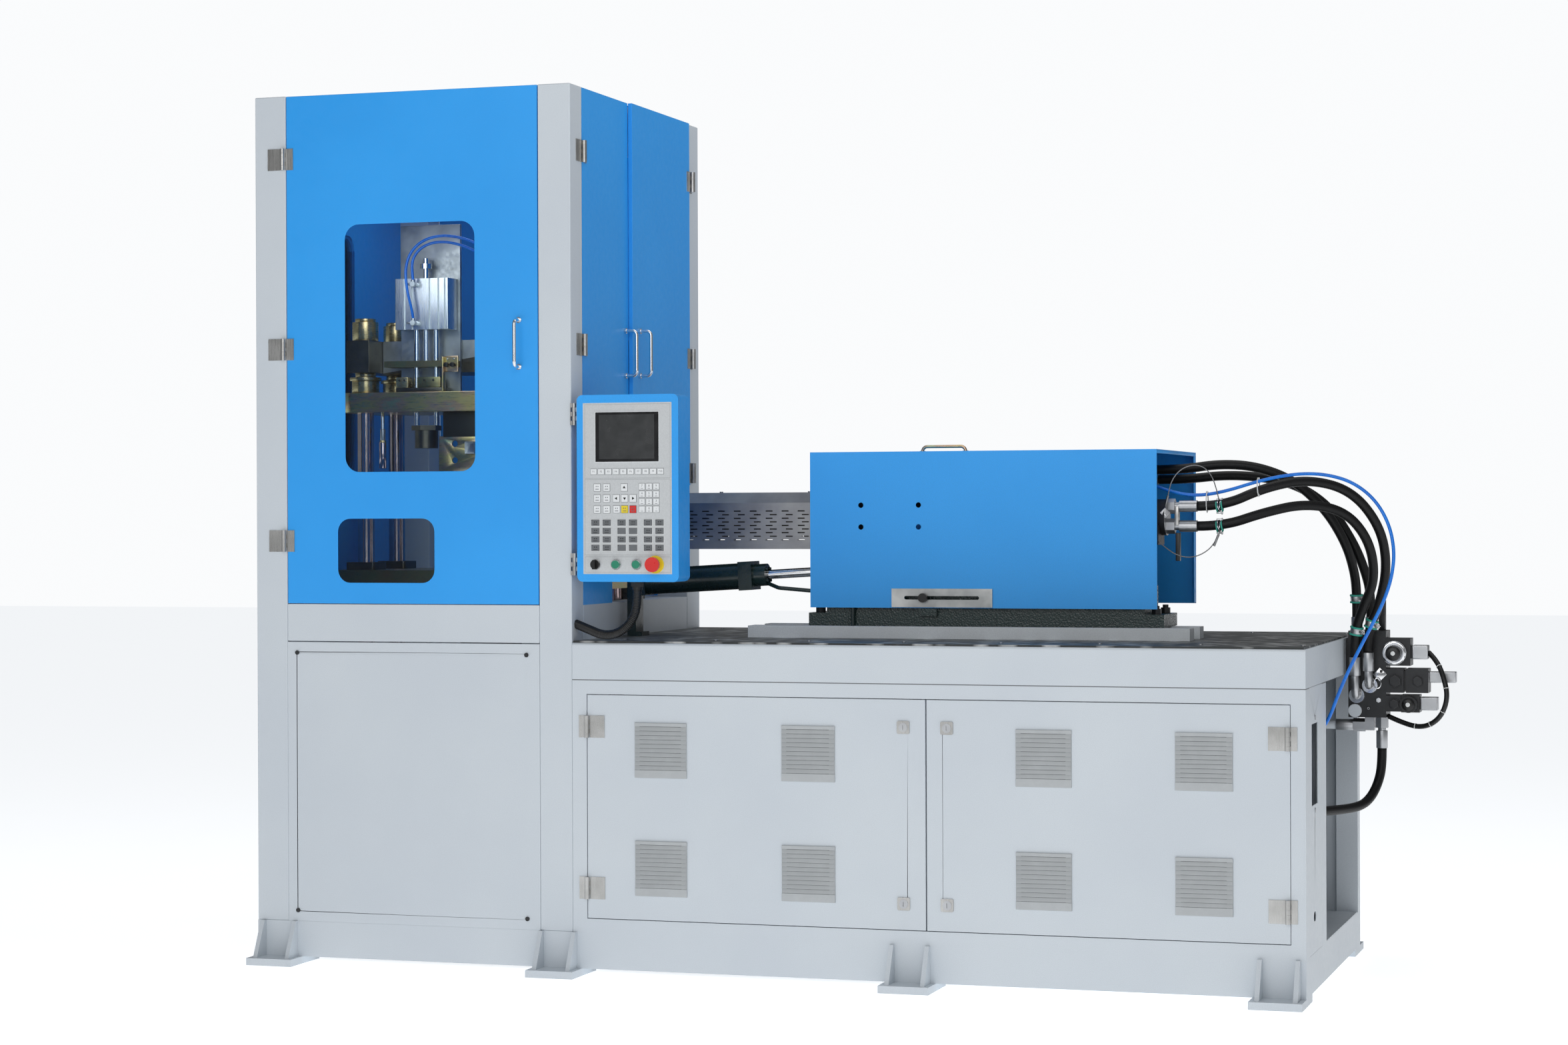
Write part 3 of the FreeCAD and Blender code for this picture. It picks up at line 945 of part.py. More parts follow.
node("return_hose", cord("return_hose", [
    (RET_X, RET_Y, RET_Z), (RET_X, RET_Y, 549), (3020, 782, 501), (3003, 750, 464), (2979, 708, 445), (2931, 620, 443),
    (2868, 505, 446), (2796, RET_END[1], RET_END[2]), RET_END], HOSE_R))
loop_a = [(FACE_M, 424, AXIS_Z + 24), (2508, 418, 1300), (2516, 424, 1340), (2540, 430, 1370), (2574, 436, 1382),
          (2606, 440, 1374), (2630, 446, 1338), (2640, 452, 1285)]
loop_b = [(FACE_M - 14, 408, AXIS_Z - 66), (2505, 412, 1156), (2530, 418, 1138), (2566, 424, 1130), (2602, 432, 1142),
          (2630, 440, 1168), (2645, 450.5, 1205)]
wires = []
for pts in (loop_a, loop_b):
    wire, least = rounded_wire(pts)
    print("cord whip_wires length", round(wire.Length, 1), "least radius", round(least, 1))
    wires.append(sweep(wire, WIRE_R))
node("whip_wires", wires)

# clamps round the hoses near the valve block
clamps = []
for name, z in (("pressure_hose_rear", 938), ("pressure_hose_front", 915), ("upper_hose_front", 1005)):
    tube = MADE[name]
    slab = tube.common(box(2900, 600, z, 3100, 900, z + 22))
    c = slab.Solids[0].CenterOfMass
    ring = rod(c.x, c.y, z, HOSE_R + 4, 20)
    clamps.append(ring.cut(tube))
clamps = [max(c.Solids, key=lambda s: s.Volume) for c in clamps]
node("hose_clamps", clamps)

# ---------------------------------------------------------------- put the origin under the middle of the machine
CORDS = ["hmi_conduit", "pressure_hose_rear", "pressure_hose_front", "upper_hose_front", "upper_hose_rear",
         "air_tube", "valve_cable", "return_hose", "whip_wires"]
whole = FreeCAD.BoundBox()
for name, shape in MADE.items():
    if name not in CORDS:
        whole.add(shape.BoundBox)
shift = V(-(whole.XMin + whole.XMax) / 2, -(whole.YMin + whole.YMax) / 2, -whole.ZMin)
print("shift", round(shift.x, 3), round(shift.y, 3), round(shift.z, 3))
print("size", round(whole.XLength, 1), round(whole.YLength, 1), round(whole.ZLength, 1))
volume = 0.0
for name, shape in MADE.items():
    shape = shape.copy()
    shape.translate(shift)
    volume += shape.Volume
    if not shape.isValid():
        print("NOT VALID", name)
    shape.exportStep("parts/%s.step" % name)
print("nodes", len(MADE), "solid volume m3", round(volume / 1e9, 4))
axes = {"front_door": FRONT_AXIS, "side_front": SIDE_AXIS, "side_rear": REAR_AXIS, "cabinet_left": CAB_AXIS_L,
        "cabinet_right": CAB_AXIS_R, "hmi": HMI_AXIS}
for label, (x, y) in axes.items():
    print("axis", label, round((x + shift.x) / 1000, 6), round((y + shift.y) / 1000, 6))
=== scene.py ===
import json
import math
import bpy
from mathutils import Matrix, Vector
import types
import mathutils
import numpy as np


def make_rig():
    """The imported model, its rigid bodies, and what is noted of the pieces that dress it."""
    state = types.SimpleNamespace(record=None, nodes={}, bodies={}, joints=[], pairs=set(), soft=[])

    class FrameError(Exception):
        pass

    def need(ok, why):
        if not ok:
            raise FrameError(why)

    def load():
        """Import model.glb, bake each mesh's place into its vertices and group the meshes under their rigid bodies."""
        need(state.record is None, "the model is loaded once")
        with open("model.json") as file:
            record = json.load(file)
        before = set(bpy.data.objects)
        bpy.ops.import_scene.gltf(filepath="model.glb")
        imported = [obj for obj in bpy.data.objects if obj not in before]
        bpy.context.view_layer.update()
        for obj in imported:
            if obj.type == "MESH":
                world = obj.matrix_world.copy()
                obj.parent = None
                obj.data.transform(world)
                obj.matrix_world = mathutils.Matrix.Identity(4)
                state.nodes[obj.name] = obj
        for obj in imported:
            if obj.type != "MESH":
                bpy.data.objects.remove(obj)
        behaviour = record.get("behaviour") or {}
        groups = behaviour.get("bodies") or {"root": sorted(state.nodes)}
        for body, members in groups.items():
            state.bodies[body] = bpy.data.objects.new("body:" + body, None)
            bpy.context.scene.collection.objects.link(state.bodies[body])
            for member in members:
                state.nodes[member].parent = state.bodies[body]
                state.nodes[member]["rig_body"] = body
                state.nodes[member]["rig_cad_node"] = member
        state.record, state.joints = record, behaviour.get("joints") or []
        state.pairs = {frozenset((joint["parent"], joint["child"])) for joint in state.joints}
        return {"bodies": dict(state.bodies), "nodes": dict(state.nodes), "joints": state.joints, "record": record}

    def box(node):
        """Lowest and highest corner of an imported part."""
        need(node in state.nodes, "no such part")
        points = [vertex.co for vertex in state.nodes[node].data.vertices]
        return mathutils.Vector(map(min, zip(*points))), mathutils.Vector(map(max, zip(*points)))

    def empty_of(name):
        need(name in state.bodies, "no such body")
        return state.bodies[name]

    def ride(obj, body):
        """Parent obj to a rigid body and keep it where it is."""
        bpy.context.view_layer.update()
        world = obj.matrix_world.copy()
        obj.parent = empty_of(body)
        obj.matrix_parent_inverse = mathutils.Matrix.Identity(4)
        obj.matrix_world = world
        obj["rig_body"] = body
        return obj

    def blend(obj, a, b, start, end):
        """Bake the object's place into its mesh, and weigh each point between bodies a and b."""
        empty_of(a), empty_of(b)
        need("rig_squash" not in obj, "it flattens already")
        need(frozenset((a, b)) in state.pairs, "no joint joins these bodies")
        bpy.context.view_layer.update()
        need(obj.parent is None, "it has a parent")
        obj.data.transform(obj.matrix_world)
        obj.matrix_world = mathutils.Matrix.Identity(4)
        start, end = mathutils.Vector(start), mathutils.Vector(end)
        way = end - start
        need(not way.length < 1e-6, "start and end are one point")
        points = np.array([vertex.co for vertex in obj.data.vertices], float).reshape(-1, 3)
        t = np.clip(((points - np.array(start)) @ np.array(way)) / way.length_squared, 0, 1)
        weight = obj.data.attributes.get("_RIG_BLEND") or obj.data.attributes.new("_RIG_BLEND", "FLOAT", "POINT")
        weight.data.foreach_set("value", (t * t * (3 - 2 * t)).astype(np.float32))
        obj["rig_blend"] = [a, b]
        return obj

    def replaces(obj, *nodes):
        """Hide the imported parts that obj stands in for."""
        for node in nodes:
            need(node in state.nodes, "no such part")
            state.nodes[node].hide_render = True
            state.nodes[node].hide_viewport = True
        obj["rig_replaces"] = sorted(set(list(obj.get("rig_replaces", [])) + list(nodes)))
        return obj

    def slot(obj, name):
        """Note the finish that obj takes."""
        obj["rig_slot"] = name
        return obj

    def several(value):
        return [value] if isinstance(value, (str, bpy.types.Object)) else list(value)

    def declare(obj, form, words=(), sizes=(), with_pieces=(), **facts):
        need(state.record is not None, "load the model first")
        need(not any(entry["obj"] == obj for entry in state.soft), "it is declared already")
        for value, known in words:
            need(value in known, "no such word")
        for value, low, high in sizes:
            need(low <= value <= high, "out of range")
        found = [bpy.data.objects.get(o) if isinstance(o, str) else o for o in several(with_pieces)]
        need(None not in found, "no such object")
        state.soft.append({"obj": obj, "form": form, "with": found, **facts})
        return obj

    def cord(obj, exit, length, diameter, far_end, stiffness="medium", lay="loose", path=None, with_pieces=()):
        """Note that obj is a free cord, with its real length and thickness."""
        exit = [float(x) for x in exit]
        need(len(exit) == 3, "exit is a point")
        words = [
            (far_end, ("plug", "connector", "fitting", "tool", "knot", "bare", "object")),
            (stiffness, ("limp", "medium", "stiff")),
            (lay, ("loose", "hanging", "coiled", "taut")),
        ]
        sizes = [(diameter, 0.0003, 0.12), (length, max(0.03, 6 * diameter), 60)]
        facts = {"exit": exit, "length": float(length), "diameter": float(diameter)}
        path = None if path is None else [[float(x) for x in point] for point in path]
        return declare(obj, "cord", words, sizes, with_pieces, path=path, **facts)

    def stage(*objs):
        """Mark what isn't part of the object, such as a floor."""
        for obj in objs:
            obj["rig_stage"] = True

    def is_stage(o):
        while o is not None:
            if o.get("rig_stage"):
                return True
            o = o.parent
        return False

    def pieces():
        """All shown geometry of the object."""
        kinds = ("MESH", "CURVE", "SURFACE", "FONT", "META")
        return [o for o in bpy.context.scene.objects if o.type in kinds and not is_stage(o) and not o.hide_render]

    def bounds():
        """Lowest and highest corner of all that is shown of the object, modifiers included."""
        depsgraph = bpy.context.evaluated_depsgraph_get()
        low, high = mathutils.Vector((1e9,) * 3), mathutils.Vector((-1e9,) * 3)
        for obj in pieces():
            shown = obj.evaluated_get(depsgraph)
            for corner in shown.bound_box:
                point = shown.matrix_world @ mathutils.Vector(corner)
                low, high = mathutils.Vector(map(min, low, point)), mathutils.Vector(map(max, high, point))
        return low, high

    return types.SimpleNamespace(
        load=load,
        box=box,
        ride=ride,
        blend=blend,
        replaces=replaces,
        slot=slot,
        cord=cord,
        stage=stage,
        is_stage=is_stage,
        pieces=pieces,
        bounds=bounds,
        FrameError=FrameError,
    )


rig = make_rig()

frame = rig.load()
node = frame["nodes"]
cad_low, cad_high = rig.bounds()

# The machine is laid out in millimetres from the tower's front left corner on the floor.
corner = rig.box("tower_frame")[0]


def at(x, y, z):
    """A place on the machine, given in millimetres from the tower's corner."""
    return Vector((corner.x + x / 1000, corner.y + y / 1000, z / 1000))


def spot_of(p):
    """The same the other way round: millimetres from the tower's corner."""
    return Vector(((p.x - corner.x) * 1000, (p.y - corner.y) * 1000, p.z * 1000))


# ---------------------------------------------------------------- camera
camera = bpy.data.objects.new("camera", bpy.data.cameras.new("camera"))
bpy.context.scene.collection.objects.link(camera)
bpy.context.scene.camera = camera
CAMERA_PLACE = (2.4696, -8.4629, 1.2544)
CAMERA_TURN = (17.688, -0.167, -0.212)
camera.data.sensor_width = 36
camera.data.lens = 71.93
camera.data.clip_end = 200
yaw, pitch, roll = (math.radians(angle) for angle in CAMERA_TURN)
ahead = Vector((-math.sin(yaw) * math.cos(pitch), math.cos(yaw) * math.cos(pitch), math.sin(pitch)))
level = Vector((math.cos(yaw), math.sin(yaw), 0))
upright = level.cross(ahead)
side = level * math.cos(roll) + upright * math.sin(roll)
top = upright * math.cos(roll) - level * math.sin(roll)
turn = Matrix((side, top, -ahead)).transposed().to_4x4()
camera.matrix_world = Matrix.Translation(CAMERA_PLACE) @ turn

# ---------------------------------------------------------------- studio
world = bpy.data.worlds.new("studio")
bpy.context.scene.world = world
world.use_nodes = True
sky = world.node_tree
glow = sky.nodes["Background"]
glow.inputs["Color"].default_value = (0.95, 0.97, 1.0, 1)
glow.inputs["Strength"].default_value = 0.20
backdrop = sky.nodes.new("ShaderNodeBackground")
backdrop.inputs["Color"].default_value = (0.98, 0.99, 1.0, 1)
backdrop.inputs["Strength"].default_value = 0.98
which = sky.nodes.new("ShaderNodeLightPath")
seen = sky.nodes.new("ShaderNodeMixShader")
sky.links.new(which.outputs["Is Camera Ray"], seen.inputs[0])
sky.links.new(glow.outputs[0], seen.inputs[1])
sky.links.new(backdrop.outputs[0], seen.inputs[2])
sky.links.new(seen.outputs[0], sky.nodes["World Output"].inputs["Surface"])
bpy.context.scene.view_settings.view_transform = "Standard"


def softbox(name, place, target, wide, high, power):
    """A white area light that looks at its target."""
    lamp = bpy.data.lights.new(name, "AREA")
    lamp.shape = "RECTANGLE"
    lamp.size = wide
    lamp.size_y = high
    lamp.energy = power
    holder = bpy.data.objects.new(name, lamp)
    bpy.context.scene.collection.objects.link(holder)
    holder.location = place
    holder.rotation_euler = (Vector(target) - Vector(place)).to_track_quat("-Z", "Y").to_euler()


softbox("front_light", (0.6, -6.2, 3.6), (0.3, 0, 1.3), 6.0, 3.6, 126)
softbox("fill_light", (4.8, -4.6, 2.2), (0.6, 0, 1.0), 3.0, 3.0, 2)
softbox("top_light", (0.4, 0.4, 5.2), (0.2, 0, 0), 5.0, 3.0, 66)
softbox("tower_light", at(470, 560, 2330), at(470, 520, 1300), 0.5, 0.4, 1.2)
softbox("press_light", at(300, 120, 1980), at(420, 520, 1600), 0.25, 0.25, 0.45)

# ---------------------------------------------------------------- finishes


class Coat:
    """A finish: a material with its shader and the helpers that mix its pattern."""

    def __init__(self, name, colour, rough, metal=0.0):
        self.material = bpy.data.materials.new(name)
        self.material.use_nodes = True
        self.tree = self.material.node_tree
        self.shader = self.tree.nodes["Principled BSDF"]
        self.spot = self.tree.nodes.new("ShaderNodeTexCoord").outputs["Object"]
        self.put("Base Color", (*colour, 1))
        self.put("Roughness", rough)
        self.put("Metallic", metal)
        self.height = None

    def put(self, socket, value):
        if isinstance(value, bpy.types.NodeSocket):
            self.tree.links.new(value, self.shader.inputs[socket])
        else:
            self.shader.inputs[socket].default_value = value

    def feed(self, socket, value):
        if isinstance(value, bpy.types.NodeSocket):
            self.tree.links.new(value, socket)
        else:
            socket.default_value = value

    def stretched(self, scale, turn=(0, 0, 0)):
        mapping = self.tree.nodes.new("ShaderNodeMapping")
        self.tree.links.new(self.spot, mapping.inputs["Vector"])
        mapping.inputs["Scale"].default_value = scale
        mapping.inputs["Rotation"].default_value = turn
        return mapping.outputs["Vector"]

    def noise(self, scale, detail=2.0, rough=0.5, place=None):
        grain = self.tree.nodes.new("ShaderNodeTexNoise")
        grain.inputs["Scale"].default_value = scale
        grain.inputs["Detail"].default_value = detail
        grain.inputs["Roughness"].default_value = rough
        self.tree.links.new(place or self.spot, grain.inputs["Vector"])
        return grain.outputs["Fac"]

    def cells(self, scale, feature="F1", place=None):
        grain = self.tree.nodes.new("ShaderNodeTexVoronoi")
        grain.feature = feature
        grain.inputs["Scale"].default_value = scale
        self.tree.links.new(place or self.spot, grain.inputs["Vector"])
        return grain.outputs["Distance"]

    def sum(self, kind, a, b=0.0):
        step = self.tree.nodes.new("ShaderNodeMath")
        step.operation = kind
        self.feed(step.inputs[0], a)
        self.feed(step.inputs[1], b)
        return step.outputs[0]

    def ramp(self, value, *stops):
        band = self.tree.nodes.new("ShaderNodeValToRGB")
        while len(band.color_ramp.elements) < len(stops):
            band.color_ramp.elements.new(0.5)
        for mark, (where, colour) in zip(band.color_ramp.elements, stops):
            mark.position = where
            mark.color = (*colour, 1) if isinstance(colour, tuple) else (colour, colour, colour, 1)
        self.tree.links.new(value, band.inputs["Fac"])
        return band.outputs["Color"]

    def mix(self, share, a, b):
        step = self.tree.nodes.new("ShaderNodeMix")
        step.data_type = "RGBA"
        self.feed(step.inputs[0], share)
        for socket, value in ((step.inputs[6], a), (step.inputs[7], b)):
            self.feed(socket, value if isinstance(value, bpy.types.NodeSocket) else (*value, 1))
        return step.outputs[2]

    def relief(self, height, strength, depth):
        bump = self.tree.nodes.new("ShaderNodeBump")
        bump.inputs["Strength"].default_value = strength
        bump.inputs["Distance"].default_value = depth
        self.tree.links.new(height, bump.inputs["Height"])
        if self.height:
            self.tree.links.new(self.height, bump.inputs["Normal"])
        self.height = bump.outputs["Normal"]
        self.tree.links.new(self.height, self.shader.inputs["Normal"])

    def axis(self, letter):
        split = self.tree.nodes.new("ShaderNodeSeparateXYZ")
        self.tree.links.new(self.spot, split.inputs[0])
        return split.outputs[letter]

    def inside(self, x0, z0, x1, z1):
        """1 within that rectangle of the front view and 0 outside it."""
        low, high = at(x0, 0, z0), at(x1, 0, z1)
        x, z = self.axis("X"), self.axis("Z")
        across = self.sum("MULTIPLY", self.sum("GREATER_THAN", x, low.x), self.sum("LESS_THAN", x, high.x))
        upward = self.sum("MULTIPLY", self.sum("GREATER_THAN", z, low.z), self.sum("LESS_THAN", z, high.z))
        return self.sum("MULTIPLY", across, upward)


def powder(name, colour, shade, rough, speckle, scuffs, seam_shade=None):
    """Powder coat: fine speckle, slight clouds, small scuffs, and a painted shade line where a seam_shade rectangle is
    given: a dark line that stands in for the shadow where two parts meet.
    """
    coat = Coat(name, colour, rough)
    clouds = coat.ramp(coat.noise(2.3, 3), (0.35, shade), (0.65, colour))
    fine = coat.ramp(coat.noise(520, 2, 0.7), (0.40, 0.0), (0.62, 1.0))
    deeper = tuple(c * (1 - speckle) for c in shade)
    paint = coat.mix(coat.sum("MULTIPLY", fine, 0.5), clouds, deeper)
    if scuffs:
        wide = coat.ramp(coat.noise(5.5, 3), (0.60, 0.0), (0.70, 1.0))
        marks = coat.ramp(coat.noise(46, 5, 0.8, coat.stretched((1, 1, 3.2))), (0.69, 0.0), (0.73, 1.0))
        paint = coat.mix(coat.sum("MULTIPLY", coat.sum("MULTIPLY", wide, marks), scuffs), paint,
                         tuple(c * 0.35 for c in colour))
    # painted shade: a dark line standing in for the shadow where two flush parts meet
    if seam_shade:
        paint = coat.mix(coat.inside(*seam_shade), paint, tuple(c * 0.22 for c in colour))
    coat.put("Base Color", paint)
    coat.put("Roughness", coat.ramp(coat.noise(60, 2), (0.3, rough - 0.05), (0.7, rough + 0.07)))
    coat.relief(coat.noise(640, 2, 0.6), 0.18, 0.0004)
    return coat.material


def metal(name, colour, other, rough, grain=(1, 1, 40), scale=30.0, depth=0.12):
    """Worked metal: its grain runs across the stretched axis, with patches of another tone."""
    coat = Coat(name, colour, rough, 1.0)
    lines = coat.noise(scale, 3, 0.6, coat.stretched(grain))
    patches = coat.noise(14, 3)
    coat.put("Base Color", coat.mix(coat.ramp(patches, (0.35, 0.0), (0.7, 1.0)), colour, other))
    coat.put("Roughness", coat.ramp(lines, (0.3, max(rough - 0.08, 0.03)), (0.7, rough + 0.1)))
    coat.relief(lines, depth, 0.0003)
    return coat.material


def moulded(name, colour, rough, grain=420.0, depth=0.1):
    """Moulded plastic with a slight texture and a little dust."""
    coat = Coat(name, colour, rough)
    dust = coat.ramp(coat.noise(22, 4, 0.7), (0.45, 0.0), (0.8, 0.35))
    coat.put("Base Color", coat.mix(dust, colour, tuple(min(1, c * 1.25 + 0.02) for c in colour)))
    coat.put("Roughness", coat.ramp(coat.noise(70, 2), (0.3, rough - 0.05), (0.7, rough + 0.08)))
    coat.relief(coat.noise(grain, 2), depth, 0.0003)
    return coat.material


grey = powder("grey_powder_coat", (0.66, 0.71, 0.75), (0.62, 0.67, 0.72), 0.42, 0.10, 0.5)
# base coat with a painted shade line at the joint of the deck beam and the base frame
base_grey = powder("base_powder_coat", (0.66, 0.71, 0.75), (0.62, 0.67, 0.72), 0.42, 0.10, 0.8,
                   seam_shade=(944, 803.2, 2940, 805.8))
blue = powder("blue_powder_coat", (0.030, 0.400, 0.980), (0.024, 0.370, 0.930), 0.40, 0.16, 0.0)
rail = powder("rail_paint", (0.70, 0.74, 0.77), (0.60, 0.64, 0.67), 0.45, 0.14, 1.0)
stainless = metal("stainless_sheet", (0.56, 0.555, 0.54), (0.42, 0.415, 0.40), 0.30, (60, 60, 1), 22)
guard_sheet = metal("guard_sheet", (0.33, 0.33, 0.33), (0.25, 0.25, 0.26), 0.42, (1, 60, 60), 16, 0.08)
chrome = metal("chrome_plate", (0.82, 0.82, 0.83), (0.76, 0.77, 0.79), 0.10, (1, 1, 30), 60, 0.03)
pink_chrome = metal("tie_bar_chrome", (0.80, 0.62, 0.62), (0.62, 0.48, 0.50), 0.12, (30, 30, 1), 30, 0.03)
zinc = metal("zinc_steel", (0.56, 0.57, 0.58), (0.46, 0.47, 0.49), 0.38, (8, 8, 8), 60, 0.15)
galvanised = metal("galvanised_sheet", (0.36, 0.37, 0.37), (0.58, 0.59, 0.58), 0.42, (3, 3, 3), 26, 0.10)
dark_steel = metal("blued_steel", (0.10, 0.095, 0.085), (0.17, 0.15, 0.12), 0.34, (1, 40, 40), 24, 0.10)
brass = metal("brass_nut", (0.66, 0.50, 0.26), (0.50, 0.40, 0.24), 0.28, (1, 1, 50), 30, 0.10)
bronze_green = metal("green_bronze_plate", (0.30, 0.31, 0.16), (0.42, 0.27, 0.14), 0.32, (30, 1, 30),
                     20, 0.08)
aluminium = metal("anodised_aluminium", (0.74, 0.76, 0.78), (0.68, 0.70, 0.72), 0.30, (40, 40, 1), 26, 0.06)
barrel_steel = metal("barrel_steel", (0.07, 0.06, 0.055), (0.10, 0.08, 0.06), 0.50, (1, 30, 30), 30, 0.10)
grille = moulded("grille_plastic", (0.45, 0.47, 0.48), 0.50)
black = moulded("black_plastic", (0.006, 0.006, 0.006), 0.32)
green = moulded("green_button", (0.02, 0.24, 0.14), 0.34)
red = moulded("red_button", (0.68, 0.025, 0.022), 0.30)
yellow = moulded("yellow_ring", (0.80, 0.62, 0.02), 0.40)
white = moulded("white_tie", (0.80, 0.81, 0.80), 0.42)
key_grey = moulded("dark_key", (0.14, 0.15, 0.16), 0.45)
key_light = moulded("light_key", (0.80, 0.82, 0.83), 0.45)
teal = moulded("clamp_rubber", (0.03, 0.36, 0.27), 0.5)
black_metal = moulded("black_oxide", (0.016, 0.017, 0.019), 0.36, 260, 0.2)
enamel = powder("tank_enamel", (0.26, 0.29, 0.32), (0.23, 0.26, 0.29), 0.38, 0.12, 0.4)
sheath = moulded("cable_sheath", (0.004, 0.004, 0.004), 0.40)


def iridescent_zinc():
    """Yellow passivated zinc, washed from gold to rose and green."""
    coat = Coat("yellow_zinc", (0.60, 0.50, 0.26), 0.30, 1.0)
    wash = coat.noise(9, 4, 0.6, coat.stretched((1, 1, 2.4)))
    coat.put("Base Color", coat.ramp(wash, (0.25, (0.46, 0.44, 0.30)), (0.42, (0.66, 0.53, 0.24)),
                                     (0.55, (0.62, 0.42, 0.30)), (0.66, (0.44, 0.52, 0.34)),
                                     (0.8, (0.70, 0.60, 0.36))))
    lines = coat.noise(26, 3, 0.6, coat.stretched((1, 30, 30)))
    coat.put("Roughness", coat.ramp(lines, (0.3, 0.24), (0.7, 0.40)))
    coat.relief(lines, 0.08, 0.0003)
    return coat.material


def hammered_paint():
    """Green-black paint with the dimples of hammer finish."""
    coat = Coat("hammered_green_black", (0.014, 0.030, 0.030), 0.26)
    dimples = coat.cells(190)
    coat.put("Base Color", coat.ramp(dimples, (0.1, (0.010, 0.022, 0.022)), (0.7, (0.026, 0.048, 0.046))))
    coat.put("Roughness", coat.ramp(coat.noise(30, 3), (0.3, 0.20), (0.7, 0.34)))
    coat.relief(dimples, 0.7, 0.0012)
    return coat.material


def cylinder_paint():
    """Glossy dark enamel of the seat cylinder."""
    coat = Coat("cylinder_enamel", (0.008, 0.022, 0.024), 0.24)
    coat.put("Base Color", coat.ramp(coat.noise(7, 3), (0.3, (0.006, 0.016, 0.018)),
                                     (0.7, (0.012, 0.030, 0.030))))
    coat.put("Roughness", coat.ramp(coat.noise(40, 3), (0.3, 0.18), (0.7, 0.32)))
    coat.relief(coat.noise(120, 2), 0.12, 0.0006)
    return coat.material


def tread_steel():
    """Worn dark deck plate with raised bars laid crosswise."""
    coat = Coat("tread_plate", (0.04, 0.045, 0.045), 0.40, 0.2)
    heights = []
    for turn in (0.72, -0.72):
        place = coat.stretched((13, 40, 1), (0, 0, turn))
        bars = coat.cells(1.0, "F1", place)
        heights.append(coat.ramp(bars, (0.20, 1.0), (0.36, 0.0)))
    bars = coat.sum("MAXIMUM", heights[0], heights[1])
    worn = coat.ramp(coat.noise(9, 4), (0.3, 0.3), (0.7, 1.0))
    bright = coat.sum("MULTIPLY", bars, worn)
    coat.put("Base Color", coat.mix(bright, (0.030, 0.034, 0.034), (0.62, 0.63, 0.62)))
    coat.relief(bars, 0.9, 0.0016)
    coat.relief(coat.noise(160, 3), 0.15, 0.0006)
    return coat.material


def clear_pane():
    """Clear sheet that lets the view through and shines at a flat angle."""
    coat = Coat("window_pane", (0.80, 0.90, 0.94), 0.03)
    nodes, links = coat.tree.nodes, coat.tree.links
    through = nodes.new("ShaderNodeBsdfTransparent")
    through.inputs["Color"].default_value = (0.90, 0.95, 0.97, 1)
    shine = nodes.new("ShaderNodeBsdfGlossy")
    shine.inputs["Roughness"].default_value = 0.04
    share = nodes.new("ShaderNodeFresnel")
    share.inputs["IOR"].default_value = 1.35
    both = nodes.new("ShaderNodeMixShader")
    links.new(share.outputs[0], both.inputs[0])
    links.new(through.outputs[0], both.inputs[1])
    links.new(shine.outputs[0], both.inputs[2])
    links.new(both.outputs[0], nodes["Material Output"].inputs["Surface"])
    return coat.material


def braided_hose():
    """Black hose cover whose braid follows the hose's own length and turn."""
    coat = Coat("braided_hose", (0.012, 0.012, 0.013), 0.50)
    uv = coat.tree.nodes.new("ShaderNodeUVMap")
    uv.uv_map = "run"
    split = coat.tree.nodes.new("ShaderNodeSeparateXYZ")
    coat.tree.links.new(uv.outputs[0], split.inputs[0])
    along = coat.sum("MULTIPLY", split.outputs["X"], 1100.0)
    around = coat.sum("MULTIPLY", split.outputs["Y"], 12 * math.tau)
    one = coat.sum("SINE", coat.sum("ADD", along, around))
    two = coat.sum("SINE", coat.sum("SUBTRACT", along, around))
    weave = coat.sum("ADD", coat.sum("MULTIPLY", coat.sum("MULTIPLY", one, two), 0.5), 0.5)
    coat.put("Base Color", coat.ramp(weave, (0.2, (0.002, 0.002, 0.002)), (0.9, (0.010, 0.010, 0.011))))
    coat.put("Roughness", coat.ramp(weave, (0.0, 0.48), (1.0, 0.32)))
    coat.put("Specular IOR Level", 0.28)
    coat.relief(weave, 0.5, 0.0006)
    return coat.material


def stranded_wire():
    """Steel wire rope, its strands wound along the wire's own map."""
    coat = Coat("stranded_wire", (0.30, 0.30, 0.30), 0.40, 1.0)
    uv = coat.tree.nodes.new("ShaderNodeUVMap")
    uv.uv_map = "run"
    split = coat.tree.nodes.new("ShaderNodeSeparateXYZ")
    coat.tree.links.new(uv.outputs[0], split.inputs[0])
    turn = coat.sum("ADD", coat.sum("MULTIPLY", split.outputs["X"], 900.0),
                    coat.sum("MULTIPLY", split.outputs["Y"], 6 * math.tau))
    strands = coat.sum("ADD", coat.sum("MULTIPLY", coat.sum("SINE", turn), 0.5), 0.5)
    coat.put("Base Color", coat.ramp(strands, (0.1, (0.10, 0.10, 0.10)), (0.9, (0.44, 0.44, 0.45))))
    coat.relief(strands, 0.5, 0.0004)
    return coat.material


def blue_tubing():
    """Smooth blue air tube."""
    coat = Coat("blue_tubing", (0.006, 0.18, 0.74), 0.22)
    coat.put("Base Color", coat.ramp(coat.noise(18, 2), (0.3, (0.004, 0.16, 0.70)),
                                     (0.7, (0.006, 0.22, 0.82))))
    coat.put("Roughness", coat.ramp(coat.noise(60, 2), (0.3, 0.18), (0.7, 0.30)))
    return coat.material


